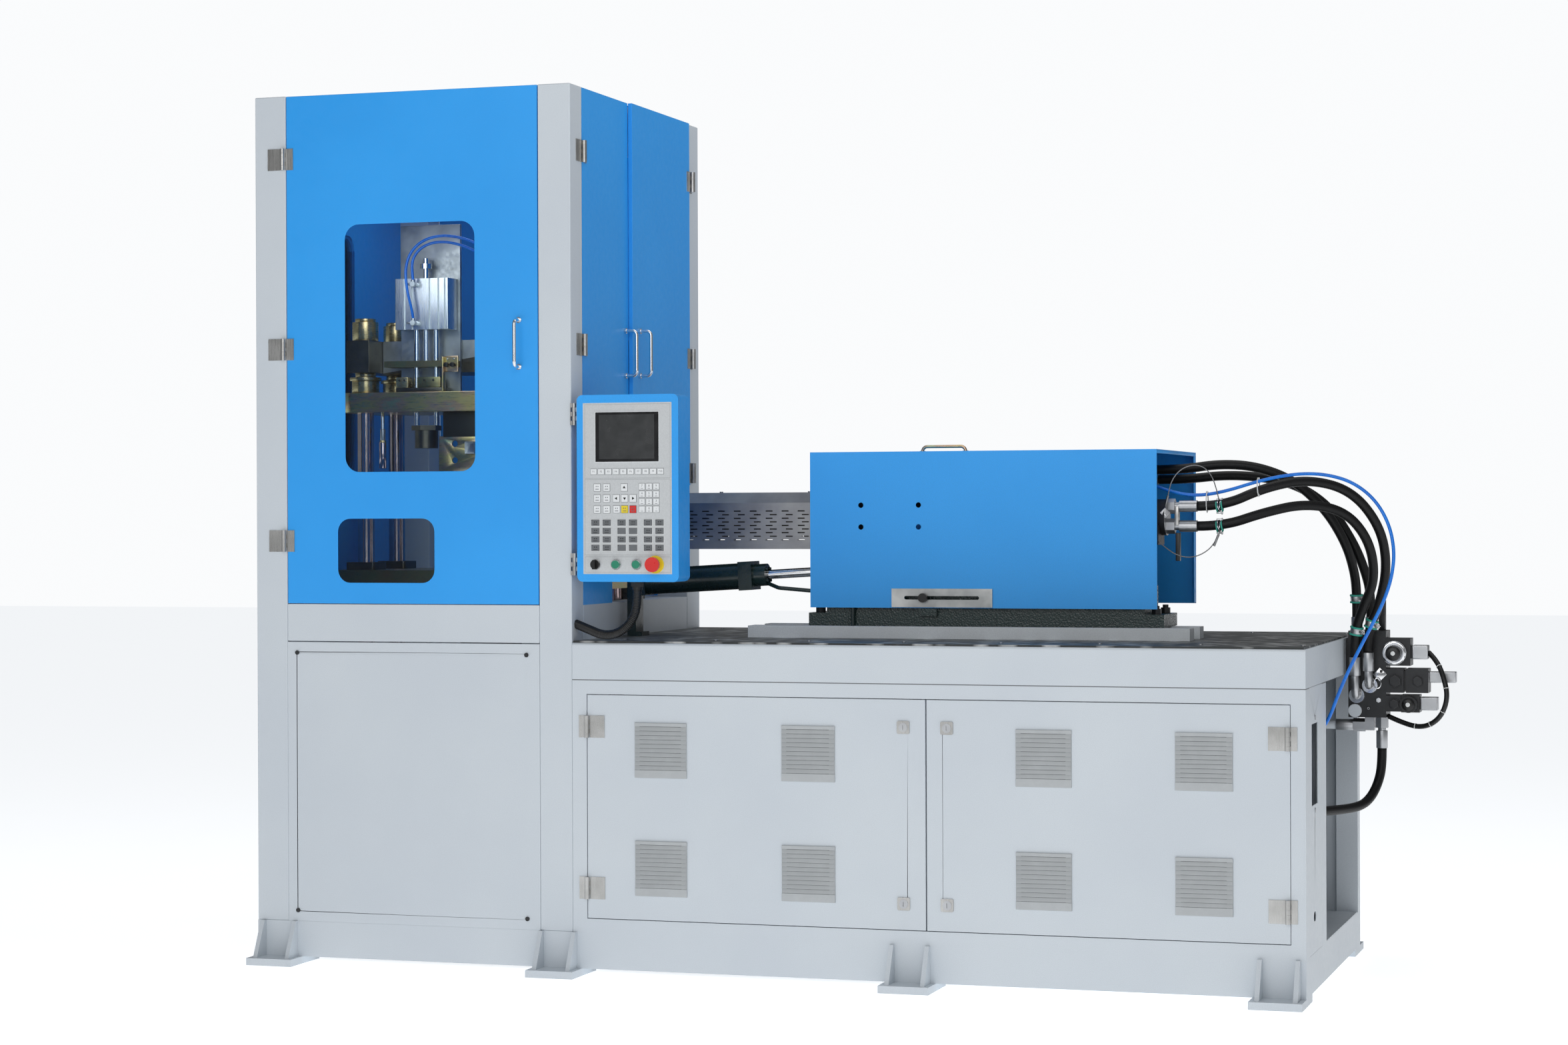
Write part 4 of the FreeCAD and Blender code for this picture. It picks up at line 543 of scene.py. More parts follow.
def panel_film():
    """The operator panel's printed film: three fields with a fine outline each."""
    coat = Coat("panel_film", (0.70, 0.72, 0.73), 0.42)
    paper = coat.ramp(coat.noise(320, 2), (0.3, (0.54, 0.56, 0.57)), (0.7, (0.60, 0.62, 0.63)))
    lines = None
    for z0, z1 in ((1351, 1551), (1143, 1348), (1096, 1139)):
        field = coat.inside(993, z0, 1239, z1)
        ring = coat.sum("SUBTRACT", field, coat.inside(993.8, z0 + 0.8, 1238.2, z1 - 0.8))
        lines = ring if lines is None else coat.sum("MAXIMUM", lines, ring)
    coat.put("Base Color", coat.mix(lines, paper, (0.36, 0.38, 0.39)))
    coat.relief(lines, 0.6, 0.0006)
    return coat.material


def screen_glass():
    """The display: light edge, black bezel and a dark picture area."""
    coat = Coat("display_glass", (0.01, 0.01, 0.011), 0.12)
    bezel = coat.inside(1024.5, 1395.5, 1206.5, 1529.5)
    live = coat.inside(1035, 1403, 1194, 1523)
    dust = coat.ramp(coat.noise(30, 4), (0.4, (0.034, 0.036, 0.037)), (0.8, (0.050, 0.052, 0.054)))
    glass = coat.mix(live, (0.004, 0.004, 0.005), dust)
    coat.put("Base Color", coat.mix(bezel, (0.80, 0.82, 0.83), glass))
    coat.put("Roughness", coat.ramp(coat.noise(24, 3), (0.3, 0.16), (0.7, 0.30)))
    return coat.material


yellow_zinc = iridescent_zinc()
hammered = hammered_paint()
cylinder_black = cylinder_paint()
tread = tread_steel()
pane = clear_pane()
hose_cover = braided_hose()
wire_metal = stranded_wire()
tubing = blue_tubing()
film = panel_film()
screen = screen_glass()

# ---------------------------------------------------------------- finishes of the CAD pieces


def paint(name, main, *others):
    """Gives a CAD piece its main finish and, where a rule picks a face by its place, another."""
    mesh = node[name].data
    mesh.materials.clear()
    mesh.materials.append(main)
    slots = [0] * len(mesh.polygons)
    for n, (finish, rule) in enumerate(others):
        mesh.materials.append(finish)
        for face in mesh.polygons:
            if rule(spot_of(face.center)):
                slots[face.index] = n + 1
    mesh.polygons.foreach_set("material_index", slots)


for name in ("tower_frame", "grey_panels", "cabinet_door_left", "cabinet_door_right"):
    paint(name, grey)
paint("base_frame", base_grey)
for name in ("front_door", "side_front_door", "side_rear_door", "cover"):
    paint(name, blue)
paint("carriage_rails", rail)
paint("deck_plate", tread)
paint("tower_skin", blue, (pane, lambda p: 1.5 < p.x < 6.5 and 222 < p.y < 628 and 1371 < p.z < 2089 and
                           (p.x > 2.2 or (230 < p.y < 620 and 1380 < p.z < 2080))))
paint("front_door_glazing", pane)
paint("hinge_frame_leaves", stainless)
paint("front_door_fittings", stainless, (chrome, lambda p: p.x > 700))
paint("side_front_fittings", stainless, (chrome, lambda p: p.y > 380))
paint("side_rear_fittings", stainless, (chrome, lambda p: p.y < 560))
paint("hmi_housing", blue, (stainless, lambda p: p.x < 969.9),
      (black, lambda p: p.z < 1070.9 and 1100 < p.x < 1150))
FILM_FRONT = -12.05
paint("hmi_face", film,
      (key_grey, lambda p: 1145 < p.z < 1245 and p.y < FILM_FRONT),
      (red, lambda p: abs(p.x - 1132) < 10 and abs(p.z - 1267) < 10.5 and p.y < FILM_FRONT),
      (yellow, lambda p: (abs(p.x - 1108) < 10 and abs(p.z - 1267) < 10.5 and p.y < FILM_FRONT) or
       (abs(p.x - 1196) < 25 and abs(p.z - 1118) < 25 and p.y < FILM_FRONT)),
      (key_light, lambda p: p.z > 1245 and p.y < FILM_FRONT and
       not (abs(p.z - 1267) < 10.5 and 1097 < p.x < 1143)),
      (chrome, lambda p: 1005 < p.x < 1160 and abs(p.z - 1118) < 16 and p.y < FILM_FRONT))
paint("hmi_display", screen)
paint("hmi_selector", black)
paint("hmi_button_left", green)
paint("hmi_button_right", green)
paint("hmi_stop_button", red)
for half in ("left", "right"):
    paint("cabinet_%s_grilles" % half, grille)
    paint("cabinet_%s_fittings" % half, stainless)
    for level_name in ("lower", "upper"):
        paint("lock_%s_%s" % (half, level_name), zinc)
paint("machine_screws", zinc, (black_metal, lambda p: p.y < 5))
paint("seat_cylinder", cylinder_black)
paint("seat_cylinder_rod", chrome)
paint("platens", yellow_zinc, (dark_steel, lambda p: p.z > 1094.5 or p.z < 1039),
      (bronze_green, lambda p: 1039 < p.z < 1093.5))
paint("tie_bars", pink_chrome)
paint("press_table", yellow_zinc, (dark_steel, lambda p: 1669 < p.z < 1765 and p.y > 350),
      (brass, lambda p: p.z > 1764.5 or 1611.5 < p.z < 1669),
      (galvanised, lambda p: 220 < p.x < 420 and 470 < p.y < 495 and p.z > 1611.5))
paint("air_cylinder", aluminium)
paint("air_cylinder_rods", chrome, (bronze_green, lambda p: 1683 < p.z < 1703),
      (dark_steel, lambda p: p.z < 1516))
paint("carriage_casting", hammered, (dark_steel, lambda p: p.z > 1100), (black_metal, lambda p: p.z < 1054 and
      979 < p.z and (p.x < 1561 or p.x > 2455)))
paint("injection_barrel", barrel_steel)
paint("injection_screw", chrome)
paint("barrel_guard", guard_sheet)
paint("hydraulic_motor", black_metal, (zinc, lambda p: p.x > 2497 or (p.y > 590 and p.x > 2393)))
paint("cover_fittings", galvanised, (yellow_zinc, lambda p: p.z > 1300))
paint("cover_knob", black)
paint("cover_knob_stud", zinc)
paint("power_pack", enamel, (black_metal, lambda p: p.z > 712 and p.x > 1719.5))
paint("hose_clamps", teal)
paint("manifold", black_metal,
      (chrome, lambda p: 749 < p.y < 761.9 and p.x < 3030 and 720 < p.z < 800),
      (zinc, lambda p: p.y < 745 and p.x < 3030),
      (zinc, lambda p: p.z > 925.5 and p.x < 3040),
      (zinc, lambda p: p.z < 686.5 and p.x > 2904),
      (zinc, lambda p: p.y < 733 and p.x > 3046),
      (chrome, lambda p: 732 < p.y < 761.5 and abs(p.x - 3071) < 34 and abs(p.z - 866) < 34),
      (zinc, lambda p: p.x > 3160),
      (galvanised, lambda p: abs(p.x - 2962) < 19 and abs(p.z - 706) < 19 and p.y < 761.9),
      (grey, lambda p: p.x < 2895 and p.z < 690))

# eased edges on the pieces whose corners catch the light
for name, ease in (("tower_frame", 3.0), ("base_frame", 1.6), ("front_door", 1.2), ("side_front_door", 1.2),
                   ("side_rear_door", 1.2), ("cabinet_door_left", 1.0), ("cabinet_door_right", 1.0),
                   ("carriage_casting", 2.5), ("carriage_rails", 1.0), ("grey_panels", 0.8),
                   ("platens", 1.5), ("press_table", 1.5), ("manifold", 0.8)):
    weld = node[name].modifiers.new("weld", "WELD")
    weld.merge_threshold = 0.00001
    bevel = node[name].modifiers.new("eased", "BEVEL")
    bevel.width = ease / 1000
    bevel.segments = 2
    bevel.limit_method = "ANGLE"
    bevel.angle_limit = math.radians(50)
    bevel.use_clamp_overlap = True
    bevel.harden_normals = False

# ---------------------------------------------------------------- hoses and cables


def spine_of(name, route):
    """Points along a smooth spline that the route's points steer: the hose's centre line."""
    curve = bpy.data.curves.new(name + "_line", "CURVE")
    curve.dimensions = "3D"
    curve.resolution_u = 14
    line = curve.splines.new("NURBS")
    line.points.add(len(route) - 1)
    for point, place in zip(line.points, route):
        point.co = (*at(*place), 1)
    line.order_u = 3
    line.use_endpoint_u = True
    holder = bpy.data.objects.new(name + "_line", curve)
    bpy.context.scene.collection.objects.link(holder)
    bpy.context.view_layer.update()
    flat = bpy.data.meshes.new_from_object(holder)
    points = [v.co.copy() for v in flat.vertices]
    bpy.data.objects.remove(holder)
    return points


def hose(name, route, radius, finish, sides=16, ribs=None):
    """A closed round tube along the route's spline, with its run in metres and its turn as its own map."""
    points = spine_of(name, route)
    if ribs:
        fine = []
        for a, b in zip(points, points[1:]):
            steps = max(1, int((b - a).length / (ribs / 4) + 0.5))
            fine += [a.lerp(b, i / steps) for i in range(steps)]
        points = fine + [points[-1]]
    verts, faces, maps = [], [], []
    run = 0.0
    runs = [0.0]
    for a, b in zip(points, points[1:]):
        run += (b - a).length
        runs.append(run)
    out = None
    for i, p in enumerate(points):
        way = (points[min(i + 1, len(points) - 1)] - points[max(i - 1, 0)]).normalized()
        if out is None:
            out = way.orthogonal().normalized()
        out = (out - way * out.dot(way)).normalized()
        other = way.cross(out)
        r = radius
        if ribs and 0 < i < len(points) - 1:
            r = radius - (0.0013 if int(runs[i] / (ribs / 2)) % 2 else 0.0)
        for k in range(sides):
            angle = math.tau * k / sides
            verts.append(p + (out * math.cos(angle) + other * math.sin(angle)) * r)
    for i in range(len(points) - 1):
        for k in range(sides):
            n = (k + 1) % sides
            faces.append((i * sides + k, i * sides + n, (i + 1) * sides + n, (i + 1) * sides + k))
            maps.append(((runs[i], k / sides), (runs[i], (k + 1) / sides), (runs[i + 1], (k + 1) / sides),
                         (runs[i + 1], k / sides)))
    last = len(verts) - sides
    faces.append(tuple(reversed(range(sides))))
    maps.append([(0.0, k / sides) for k in range(sides)])
    faces.append(tuple(last + k for k in range(sides)))
    maps.append([(run, k / sides) for k in range(sides)])
    mesh = bpy.data.meshes.new(name)
    mesh.from_pydata(verts, [], faces)
    layer = mesh.uv_layers.new(name="run")
    layer.data.foreach_set("uv", [c for face in maps for pair in face for c in pair])
    mesh.polygons.foreach_set("use_smooth", [len(f) == 4 for f in faces])
    mesh.materials.append(finish)
    tube = bpy.data.objects.new(name, mesh)
    bpy.context.scene.collection.objects.link(tube)
    return tube, points, run


def lay(name, cad, route, radius, finish, slot, body, stiffness="medium", far_body=None, bend=None, **shape):
    """Lays a cord on its body, or bends it between two, and returns the points of its centre line."""
    tube, points, run = hose(name, route, radius, finish, **shape)
    if cad:
        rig.replaces(tube, cad)
    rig.slot(tube, slot)
    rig.cord(tube, exit=points[0], length=run, diameter=2 * radius, far_end="object", stiffness=stiffness,
            lay="loose", path=points)
    if far_body:
        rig.blend(tube, body, far_body, at(*bend[0]), at(*bend[1]))
    else:
        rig.ride(tube, body)
    return points


def pressure_hose(name, cad, route, bend):
    """One of the four hoses from the injection unit down to the valve block."""
    return lay(name, cad, route, HOSE_R, hose_cover, "hose_rubber", "carriage", "medium", "machine", bend)


HOSE_R = 0.013
TUBE_R = 0.0045
WIRE_R = 0.0015
lay("corrugated_conduit", "hmi_conduit",
    [(1128, 30, 1048.7), (1128, 30, 1004), (1118, 12, 962), (1084, 2, 931), (1040, 3, 925), (994, 16, 940),
     (949, 31, 955)], 0.0125, sheath, "conduit_plastic", "operator_panel", "medium", "machine",
    ((1128, 30, 1030), (965, 25, 950)), sides=20, ribs=0.0042)
BEND = ((2640, 460, 1290), (2990, 700, 985))
rear_line = pressure_hose("rear_pressure_hose", "pressure_hose_rear",
    [(2580.3, 460, 1270), (2652, 460, 1270), (2755, 485, 1318), (2865, 530, 1342), (2975, 590, 1312),
     (3045, 648, 1215), (3060, 688, 1105), (3034, 714, 995), (3003, 720, 930), (3003, 720, 867)], BEND)
front_line = pressure_hose("front_pressure_hose", "pressure_hose_front",
    [(2580.3, 460, 1216), (2652, 460, 1216), (2755, 487, 1252), (2860, 530, 1276), (2960, 578, 1256),
     (3020, 622, 1175), (3030, 664, 1070), (2990, 703, 988), (2967, 720, 922), (2967, 720, 854)], BEND)
upper_front_line = pressure_hose("front_upper_hose", "upper_hose_front",
    [(2430.3, 620, 1371), (2510, 620, 1371), (2610, 626, 1386), (2712, 640, 1379), (2810, 664, 1340),
     (2890, 695, 1262), (2940, 735, 1170), (2959, 775, 1090), (2963, 795, 1026), (2963, 795, 962)],
    ((2520, 620, 1371), (2960, 790, 1040)))
pressure_hose("rear_upper_hose", "upper_hose_rear",
    [(2430.3, 690, 1345), (2510, 690, 1345), (2610, 700, 1356), (2712, 714, 1351), (2815, 732, 1326),
     (2900, 758, 1262), (2957, 785, 1165), (2985, 800, 1090), (2999, 815, 1026), (2999, 815, 962)],
    ((2520, 690, 1345), (2990, 810, 1040)))
lay("blue_air_tube", "air_tube",
    [(2420.3, 470, 1330), (2452, 470, 1330), (2498, 471, 1312), (2550, 469, 1300), (2605, 466, 1300),
     (2669, 460, 1313), (2735, 453, 1333), (2800, 446, 1348), (2868, 436, 1356), (2936, 425, 1352),
     (3004, 412, 1331), (3062, 398, 1286), (3100, 387, 1222), (3115, 377, 1152), (3110, 368, 1085),
     (3090, 362, 1020), (3058, 358, 955), (3024, 356, 890), (2992, 358, 825), (2966, 366, 765),
     (2945, 380, 712), (2921, 393, 675), (2890, 398, 658)],
    TUBE_R, tubing, "air_tube_plastic", "carriage", "medium", "machine",
    ((2640, 462, 1310), (3030, 370, 860)))
lead_line = lay("valve_lead", "valve_cable",
    [(3158, 794, 866), (3180, 782, 846), (3202, 748, 806), (3216, 736, 748), (3198, 740, 694),
     (3158, 756, 664), (3106, 780, 664), (3046, 796, 690)], 0.007, sheath, "cable_black", "machine", "limp")
lay("return_line", "return_hose",
    [(3030, 800, 601), (3030, 800, 549), (3020, 782, 501), (3003, 750, 464), (2979, 708, 445),
     (2931, 620, 443), (2868, 505, 446), (2796, 466, 446), (2726, 466, 446)],
    HOSE_R, hose_cover, "hose_rubber", "machine")
lay("upper_whip_wire", "whip_wires",
    [(2498, 424, 1264), (2508, 418, 1300), (2516, 424, 1340), (2540, 430, 1370), (2574, 436, 1382),
     (2606, 440, 1374), (2630, 446, 1338), (2640, 452, 1285)],
    WIRE_R, wire_metal, "wire_steel", "carriage", sides=8)
lay("lower_whip_wire", "whip_wires",
    [(2484, 408, 1174), (2505, 412, 1156), (2530, 418, 1138), (2566, 424, 1130), (2602, 432, 1142),
     (2630, 440, 1168), (2645, 450.5, 1205)], WIRE_R, wire_metal, "wire_steel", "carriage", sides=8)

# ---------------------------------------------------------------- modelling by hand


def deselect():
    bpy.ops.object.select_all(action="DESELECT")


def settle(name, finish):
    """Names the new piece, puts its place into its mesh and gives it its finish."""
    piece = bpy.context.object
    piece.name = name
    piece.data.name = name
    bpy.ops.object.transform_apply(location=True, rotation=True, scale=True)
    piece.data.materials.append(finish)
    return piece


def block(name, low, high, finish):
    """A cuboid between two corners, in millimetres from the tower's corner."""
    deselect()
    a, b = at(*low), at(*high)
    bpy.ops.mesh.primitive_cube_add(size=1, location=(a + b) / 2, scale=b - a)
    return settle(name, finish)


def disc(name, centre, radius, depth, way, finish, sides=32):
    """A round bar about its middle, along way, in millimetres."""
    deselect()
    bpy.ops.mesh.primitive_cylinder_add(vertices=sides, radius=radius / 1000, depth=depth / 1000,
                                        location=at(*centre),
                                        rotation=Vector(way).to_track_quat("Z", "Y").to_euler())
    return settle(name, finish)


def hoop(name, centre, radius, thick, way, finish, stretch=(1, 1, 1)):
    """A thin ring about its middle, whose hole looks along way, drawn out by stretch."""
    deselect()
    bpy.ops.mesh.primitive_torus_add(major_radius=radius / 1000, minor_radius=thick / 1000, major_segments=32,
                                     minor_segments=8, location=at(*centre),
                                     rotation=Vector(way).to_track_quat("Z", "Y").to_euler())
    ring = settle(name, finish)
    middle = at(*centre)
    drawn = Matrix.Diagonal((*stretch, 1))
    ring.data.transform(Matrix.Translation(middle) @ drawn @ Matrix.Translation(-middle))
    return ring


def pick(piece, rule):
    """Selects just the faces that the rule accepts by their middle, in millimetres, and their normal."""
    bpy.context.tool_settings.mesh_select_mode = (False, False, True)
    mesh = piece.data
    for part in (mesh.vertices, mesh.edges, mesh.polygons):
        part.foreach_set("select", [False] * len(part))
    for face in mesh.polygons:
        face.select = rule(spot_of(face.center), face.normal)


def work(piece, rule, move):
    """Does one edit-mode move on the picked faces."""
    deselect()
    piece.select_set(True)
    bpy.context.view_layer.objects.active = piece
    pick(piece, rule)
    bpy.ops.object.mode_set(mode="EDIT")
    move()
    bpy.ops.object.mode_set(mode="OBJECT")


def ease(piece, width, segments=2, angle=40):
    """Rounds the piece's edges by a bevel in millimetres."""
    bpy.context.view_layer.objects.active = piece
    bevel = piece.modifiers.new("eased", "BEVEL")
    bevel.width = width / 1000
    bevel.segments = segments
    bevel.limit_method = "ANGLE"
    bevel.angle_limit = math.radians(angle)
    bpy.ops.object.modifier_apply(modifier="eased")
    return piece


def again(piece, dx=0.0, dy=0.0, dz=0.0):
    """A copy with its own mesh, set over in millimetres."""
    other = piece.copy()
    other.data = piece.data.copy()
    other.data.transform(Matrix.Translation((dx / 1000, dy / 1000, dz / 1000)))
    bpy.context.scene.collection.objects.link(other)
    return other


def gather(name, parts, slot, body=None, smooth=35):
    """Joins the parts to one piece, which rides on the body if one is named."""
    deselect()
    for part in parts:
        part.select_set(True)
    bpy.context.view_layer.objects.active = parts[0]
    if len(parts) > 1:
        bpy.ops.object.join()
    whole = parts[0]
    whole.name = name
    whole.data.name = name
    bpy.ops.object.shade_smooth_by_angle(angle=math.radians(smooth))
    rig.slot(whole, slot)
    if body:
        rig.ride(whole, body)
    return whole


# ---------------------------------------------------------------- louvred vents of the base doors
VENT = 148.5
VENT_Z = (223.0, 542.0)


def vent(x, z):
    """A moulded vent: a plate, a black sheet behind it as painted shade for the dark opening, and ten sloped blades
    above a plain foot.
    """
    plate = ease(block("vent", (x, -2.2, z), (x + VENT, 0, z + VENT), grille), 0.8)
    brow = ease(block("vent_brow", (x, -4.6, z + 139), (x + VENT, -1, z + VENT), grille), 1.0)
    foot = ease(block("vent_foot", (x, -4.2, z), (x + VENT, -1, z + 21.5), grille), 1.0)
    # painted shade: a black sheet behind the blades stands in for the shadow inside the vent's opening
    shade_sheet = ease(block("vent_shade_sheet", (x + 14, -2.5, z + 20), (x + VENT - 16, -2.0, z + 139), black), 0.1)
    blade = block("vent_blade", (x + 1, -6.0, z + 22.4), (x + VENT - 1, -2.2, z + 33.2), grille)
    work(blade, lambda p, n: n.z > 0.9, lambda: bpy.ops.transform.translate(value=(0, 0.0019, 0)))
    work(blade, lambda p, n: n.z > 0.9, lambda: bpy.ops.transform.resize(value=(1, 0.25, 1)))
    ease(blade, 0.5)
    return [plate, brow, foot, shade_sheet, blade] + [again(blade, dz=11.66 * i) for i in range(1, 10)]


for half, spots in (("left", (1130.5, 1546.0)), ("right", (2184.7, 2602.7))):
    first = vent(spots[0], VENT_Z[0])
    shapes = [again(part, dx, 0, dz) for dx in (0, spots[1] - spots[0]) for dz in (0, VENT_Z[1] - VENT_Z[0])
              if dx or dz for part in first]
    vents = gather("louvred_vents_" + half, first + shapes, "grille_plastic", "cabinet_door_" + half, 20)
    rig.replaces(vents, "cabinet_%s_grilles" % half)

# ---------------------------------------------------------------- legends of the operator panel
KEY_FACE = -13.2
panel_marks = []


def legend(words, x, z, size, finish):
    """A printed figure on a key."""
    deselect()
    bpy.ops.object.text_add(location=at(x, KEY_FACE - 0.05, z), rotation=(math.radians(90), 0, 0))
    text = bpy.context.object
    text.data.body = words
    text.data.size = size / 1000
    text.data.align_x = "CENTER"
    text.data.align_y = "CENTER"
    text.data.extrude = 0.00008
    text.data.resolution_u = 3
    bpy.ops.object.convert(target="MESH")
    panel_marks.append(settle("legend", finish))


def mark(x, z, w, h, finish):
    """A plain printed bar on a key."""
    low = (x - w / 2, KEY_FACE - 0.12, z - h / 2)
    high = (x + w / 2, KEY_FACE + 0.05, z + h / 2)
    panel_marks.append(ease(block("mark", low, high, finish), 0.04, 1))


def arrow(x, z, turn):
    """A printed arrow head on a key."""
    deselect()
    bpy.ops.mesh.primitive_cylinder_add(vertices=3, radius=0.0048, depth=0.0002,
                                        location=at(x, KEY_FACE - 0.05, z),
                                        rotation=(math.radians(90), math.radians(turn), 0))
    panel_marks.append(settle("arrow", black))


def surround(x, z, w, h, finish):
    """The raised rim that a membrane key stands in."""
    rim = block("rim", (x - w / 2 - 1, -12.5, z - h / 2 - 1), (x + w / 2 + 1, -11.8, z + h / 2 + 1), finish)
    panel_marks.append(ease(rim, 0.3, 2))


for i in range(10):
    surround(1019 + 21.4 * i, 1369, 17, 15, key_grey)
    legend("F%d" % (i + 1), 1019 + 21.4 * i, 1369, 7.0, key_grey)
for i in range(3):
    for j, row in enumerate(("789", "456", "123", ".0-")):
        x, z = 1158 + 20.4 * i, 1328 - 20.4 * j
        surround(x, z, 16.5, 16.6, key_grey)
        legend(row[i], x, z + 2.2, 8.0, key_grey)
        mark(x, z - 5.0, 7.0, 1.2, key_grey)
for x, z, turn in ((1107, 1326, 0), (1108, 1296.5, 180), (1084, 1296.5, -90), (1132, 1296.5, 90)):
    surround(x, z, 18.4, 19.3, key_grey)
    arrow(x, z, turn)
left_keys = [(1029 + 27.2 * i, 1326 - 29.7 * j) for i in range(2) for j in range(3)]
for x, z in left_keys + [(1085, 1267), (1108, 1267), (1132, 1267)]:
    surround(x, z, 18.4, 19.3, key_grey)
    mark(x - 2.6, z + 3.0, 2.6, 2.6, key_grey)
    mark(x + 2.6, z + 3.0, 2.6, 2.6, key_grey)
    mark(x, z - 4.4, 10.0, 1.8, key_grey)
for pair in range(3):
    for column in range(2):
        for j in range(4):
            x, z = 1023.4 + 75.7 * pair + 33 * column, 1231 - 22.7 * j
            surround(x, z, 24, 17, white)
            mark(x - 9.6, z + 6.2, 1.8, 1.8, black)
            if pair != 1 or j in (0, 2):
                mark(x - 2.4, z + 2.0, 4.0, 2.4, black)
                mark(x + 3.4, z + 2.0, 4.0, 2.4, black)
                mark(x, z - 4.0, 12.0, 1.6, black)
gather("panel_legends", panel_marks, "face_plastic", "operator_panel", 30)

# ---------------------------------------------------------------- folded lips at the hood's two ends
lips = [ease(block("lip", (2488.5, 348.5, 1412.5), (2491, 930.5, 1420.5), blue), 0.8),
        ease(block("lip", (2488.5, 904, 996), (2491, 930.5, 1412.5), blue), 0.8),
        ease(block("lip", (1521, 348.5, 1394), (1523.5, 930.5, 1420.5), blue), 0.8),
        ease(block("lip", (1521, 904, 996), (1523.5, 930.5, 1394), blue), 0.8)]
gather("cover_end_lips", lips, "blue_paint", "cover")

# ---------------------------------------------------------------- clamps and ties on the hoses


def nearest(points, height):
    """Where the hose passes this height in its falling half, and which way it runs there."""
    spots = [spot_of(p) for p in points]
    half = len(spots) // 2
    n = min(range(half, len(spots) - 1), key=lambda k: abs(spots[k].z - height))
    return spots[n], (spots[n + 1] - spots[n - 1]).normalized()


def hose_clamp(points, height):
    """A steel band between two rubber rims, closed by a bolt on its side."""
    spot, way = nearest(points, height)
    out = Vector((1, -0.35, 0))
    out = (out - way * out.dot(way)).normalized()
    band = ease(disc("clamp_band", spot, 16.6, 15, way, zinc), 0.6)
    rims = [ease(disc("clamp_rim", spot + way * k, 18.6, 4.6, way, teal), 1.2, 3) for k in (-9.4, 9.4)]
    half, ear_at, across = Vector((5, 4, 6)), spot + out * 20, way.cross(out)
    ear = ease(block("clamp_ear", ear_at - half, ear_at + half, zinc), 1.0)
    bolt = ease(disc("clamp_bolt", spot + out * 21, 3.2, 19, across, chrome, 16), 0.5)
    head = ease(disc("clamp_head", spot + out * 21 + across * 10, 5.6, 4.4, across, zinc, 6), 0.5)
    return [band, ear, bolt, head] + rims


clamps = hose_clamp(rear_line, 948) + hose_clamp(front_line, 925) + hose_clamp(upper_front_line, 1015)
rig.replaces(gather("hose_clamps_shaped", clamps, "clamp_steel", "machine"), "hose_clamps")

wire_clamps = []
for height in (1269.5, 1215.5):
    spot = Vector((2640, 460, height))
    way = Vector((1, 0, 0.12)).normalized()
    for k in (-7, 7):
        wire_clamps.append(ease(disc("wire_clamp_rim", spot + way * k, 15.6, 3.4, way, teal), 0.9, 3))
    for k, lean in ((-2.5, 0.16), (2.5, -0.10)):
        wire_clamps.append(hoop("wire_clamp_band", spot + way * k, 15.2, 1.5, (1, 0, lean), chrome))
    for k in (-1, 1):
        bolt = spot + Vector((0, 0, 18.0 * k))
        wire_clamps.append(ease(disc("wire_clamp_bolt", bolt, 2.4, 16, (1, 0, 0), chrome, 12), 0.4))
        nut = disc("wire_clamp_nut", bolt + Vector((7, 0, 0)), 4.2, 4, (1, 0, 0), zinc, 6)
        wire_clamps.append(ease(nut, 0.4))
gather("wire_clamps", wire_clamps, "clamp_steel", "carriage")


def cable_tie(centre, half, way, thick=1.5):
    """A nylon tie drawn round what it holds, with its lock."""
    ring = hoop("tie", centre, 10, thick, way, white, (half[0] / 10, half[1] / 10, half[2] / 10))
    lock = Vector(centre) + Vector((0, 0, half[2]))
    return [ring, ease(block("tie_lock", lock - Vector((3, 3, 2.4)), lock + Vector((3, 3, 2.8)), white), 0.8)]


gather("first_hose_tie", cable_tie((2606, 463, 1281), (10, 15.5, 26), (1, 0, 0)), "face_plastic", "carriage")
far_tie = gather("second_hose_tie", cable_tie((2744, 468, 1320), (10, 27, 23), (1, 0.1, 0.1)), "face_plastic")
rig.blend(far_tie, "carriage", "machine", at(*BEND[0]), at(*BEND[1]))
lead_ties = []
for share in (0.16, 0.36, 0.55, 0.72, 0.86):
    n = int(share * (len(lead_line) - 1))
    way = (lead_line[n + 1] - lead_line[n - 1]).normalized()
    lead_ties.append(hoop("lead_tie", spot_of(lead_line[n]), 7.4, 1.0, way, white))
gather("valve_lead_ties", lead_ties, "face_plastic", "machine")

# ---------------------------------------------------------------- fittings on the motor's ports
link = ease(block("port_link", (2520, 446, 1218), (2531, 468, 1270), stainless), 1.2)
hanger = ease(block("link_hanger", (2522, 448, 1122), (2534, 466, 1198), black_metal), 1.5)
lug = ease(disc("lug", (2500, 416, 1252), 15, 3, (0.35, -1, 0.1), zinc, 4), 2.0, 3)
lug_bolt = ease(disc("lug_bolt", (2502, 411, 1246), 4.6, 8, (0.35, -1, 0.1), zinc, 6), 0.6)
sleeve = ease(disc("wire_sleeve", (2503, 421, 1282), 3.4, 34, (10, -6, 36), wire_metal, 16), 0.8)
low_sleeve = ease(disc("wire_sleeve", (2634, 443, 1178), 3.4, 34, (14, 6, 37), wire_metal, 16), 0.8)
gather("port_fittings", [link, hanger, lug, lug_bolt, sleeve, low_sleeve], "clamp_steel", "carriage")

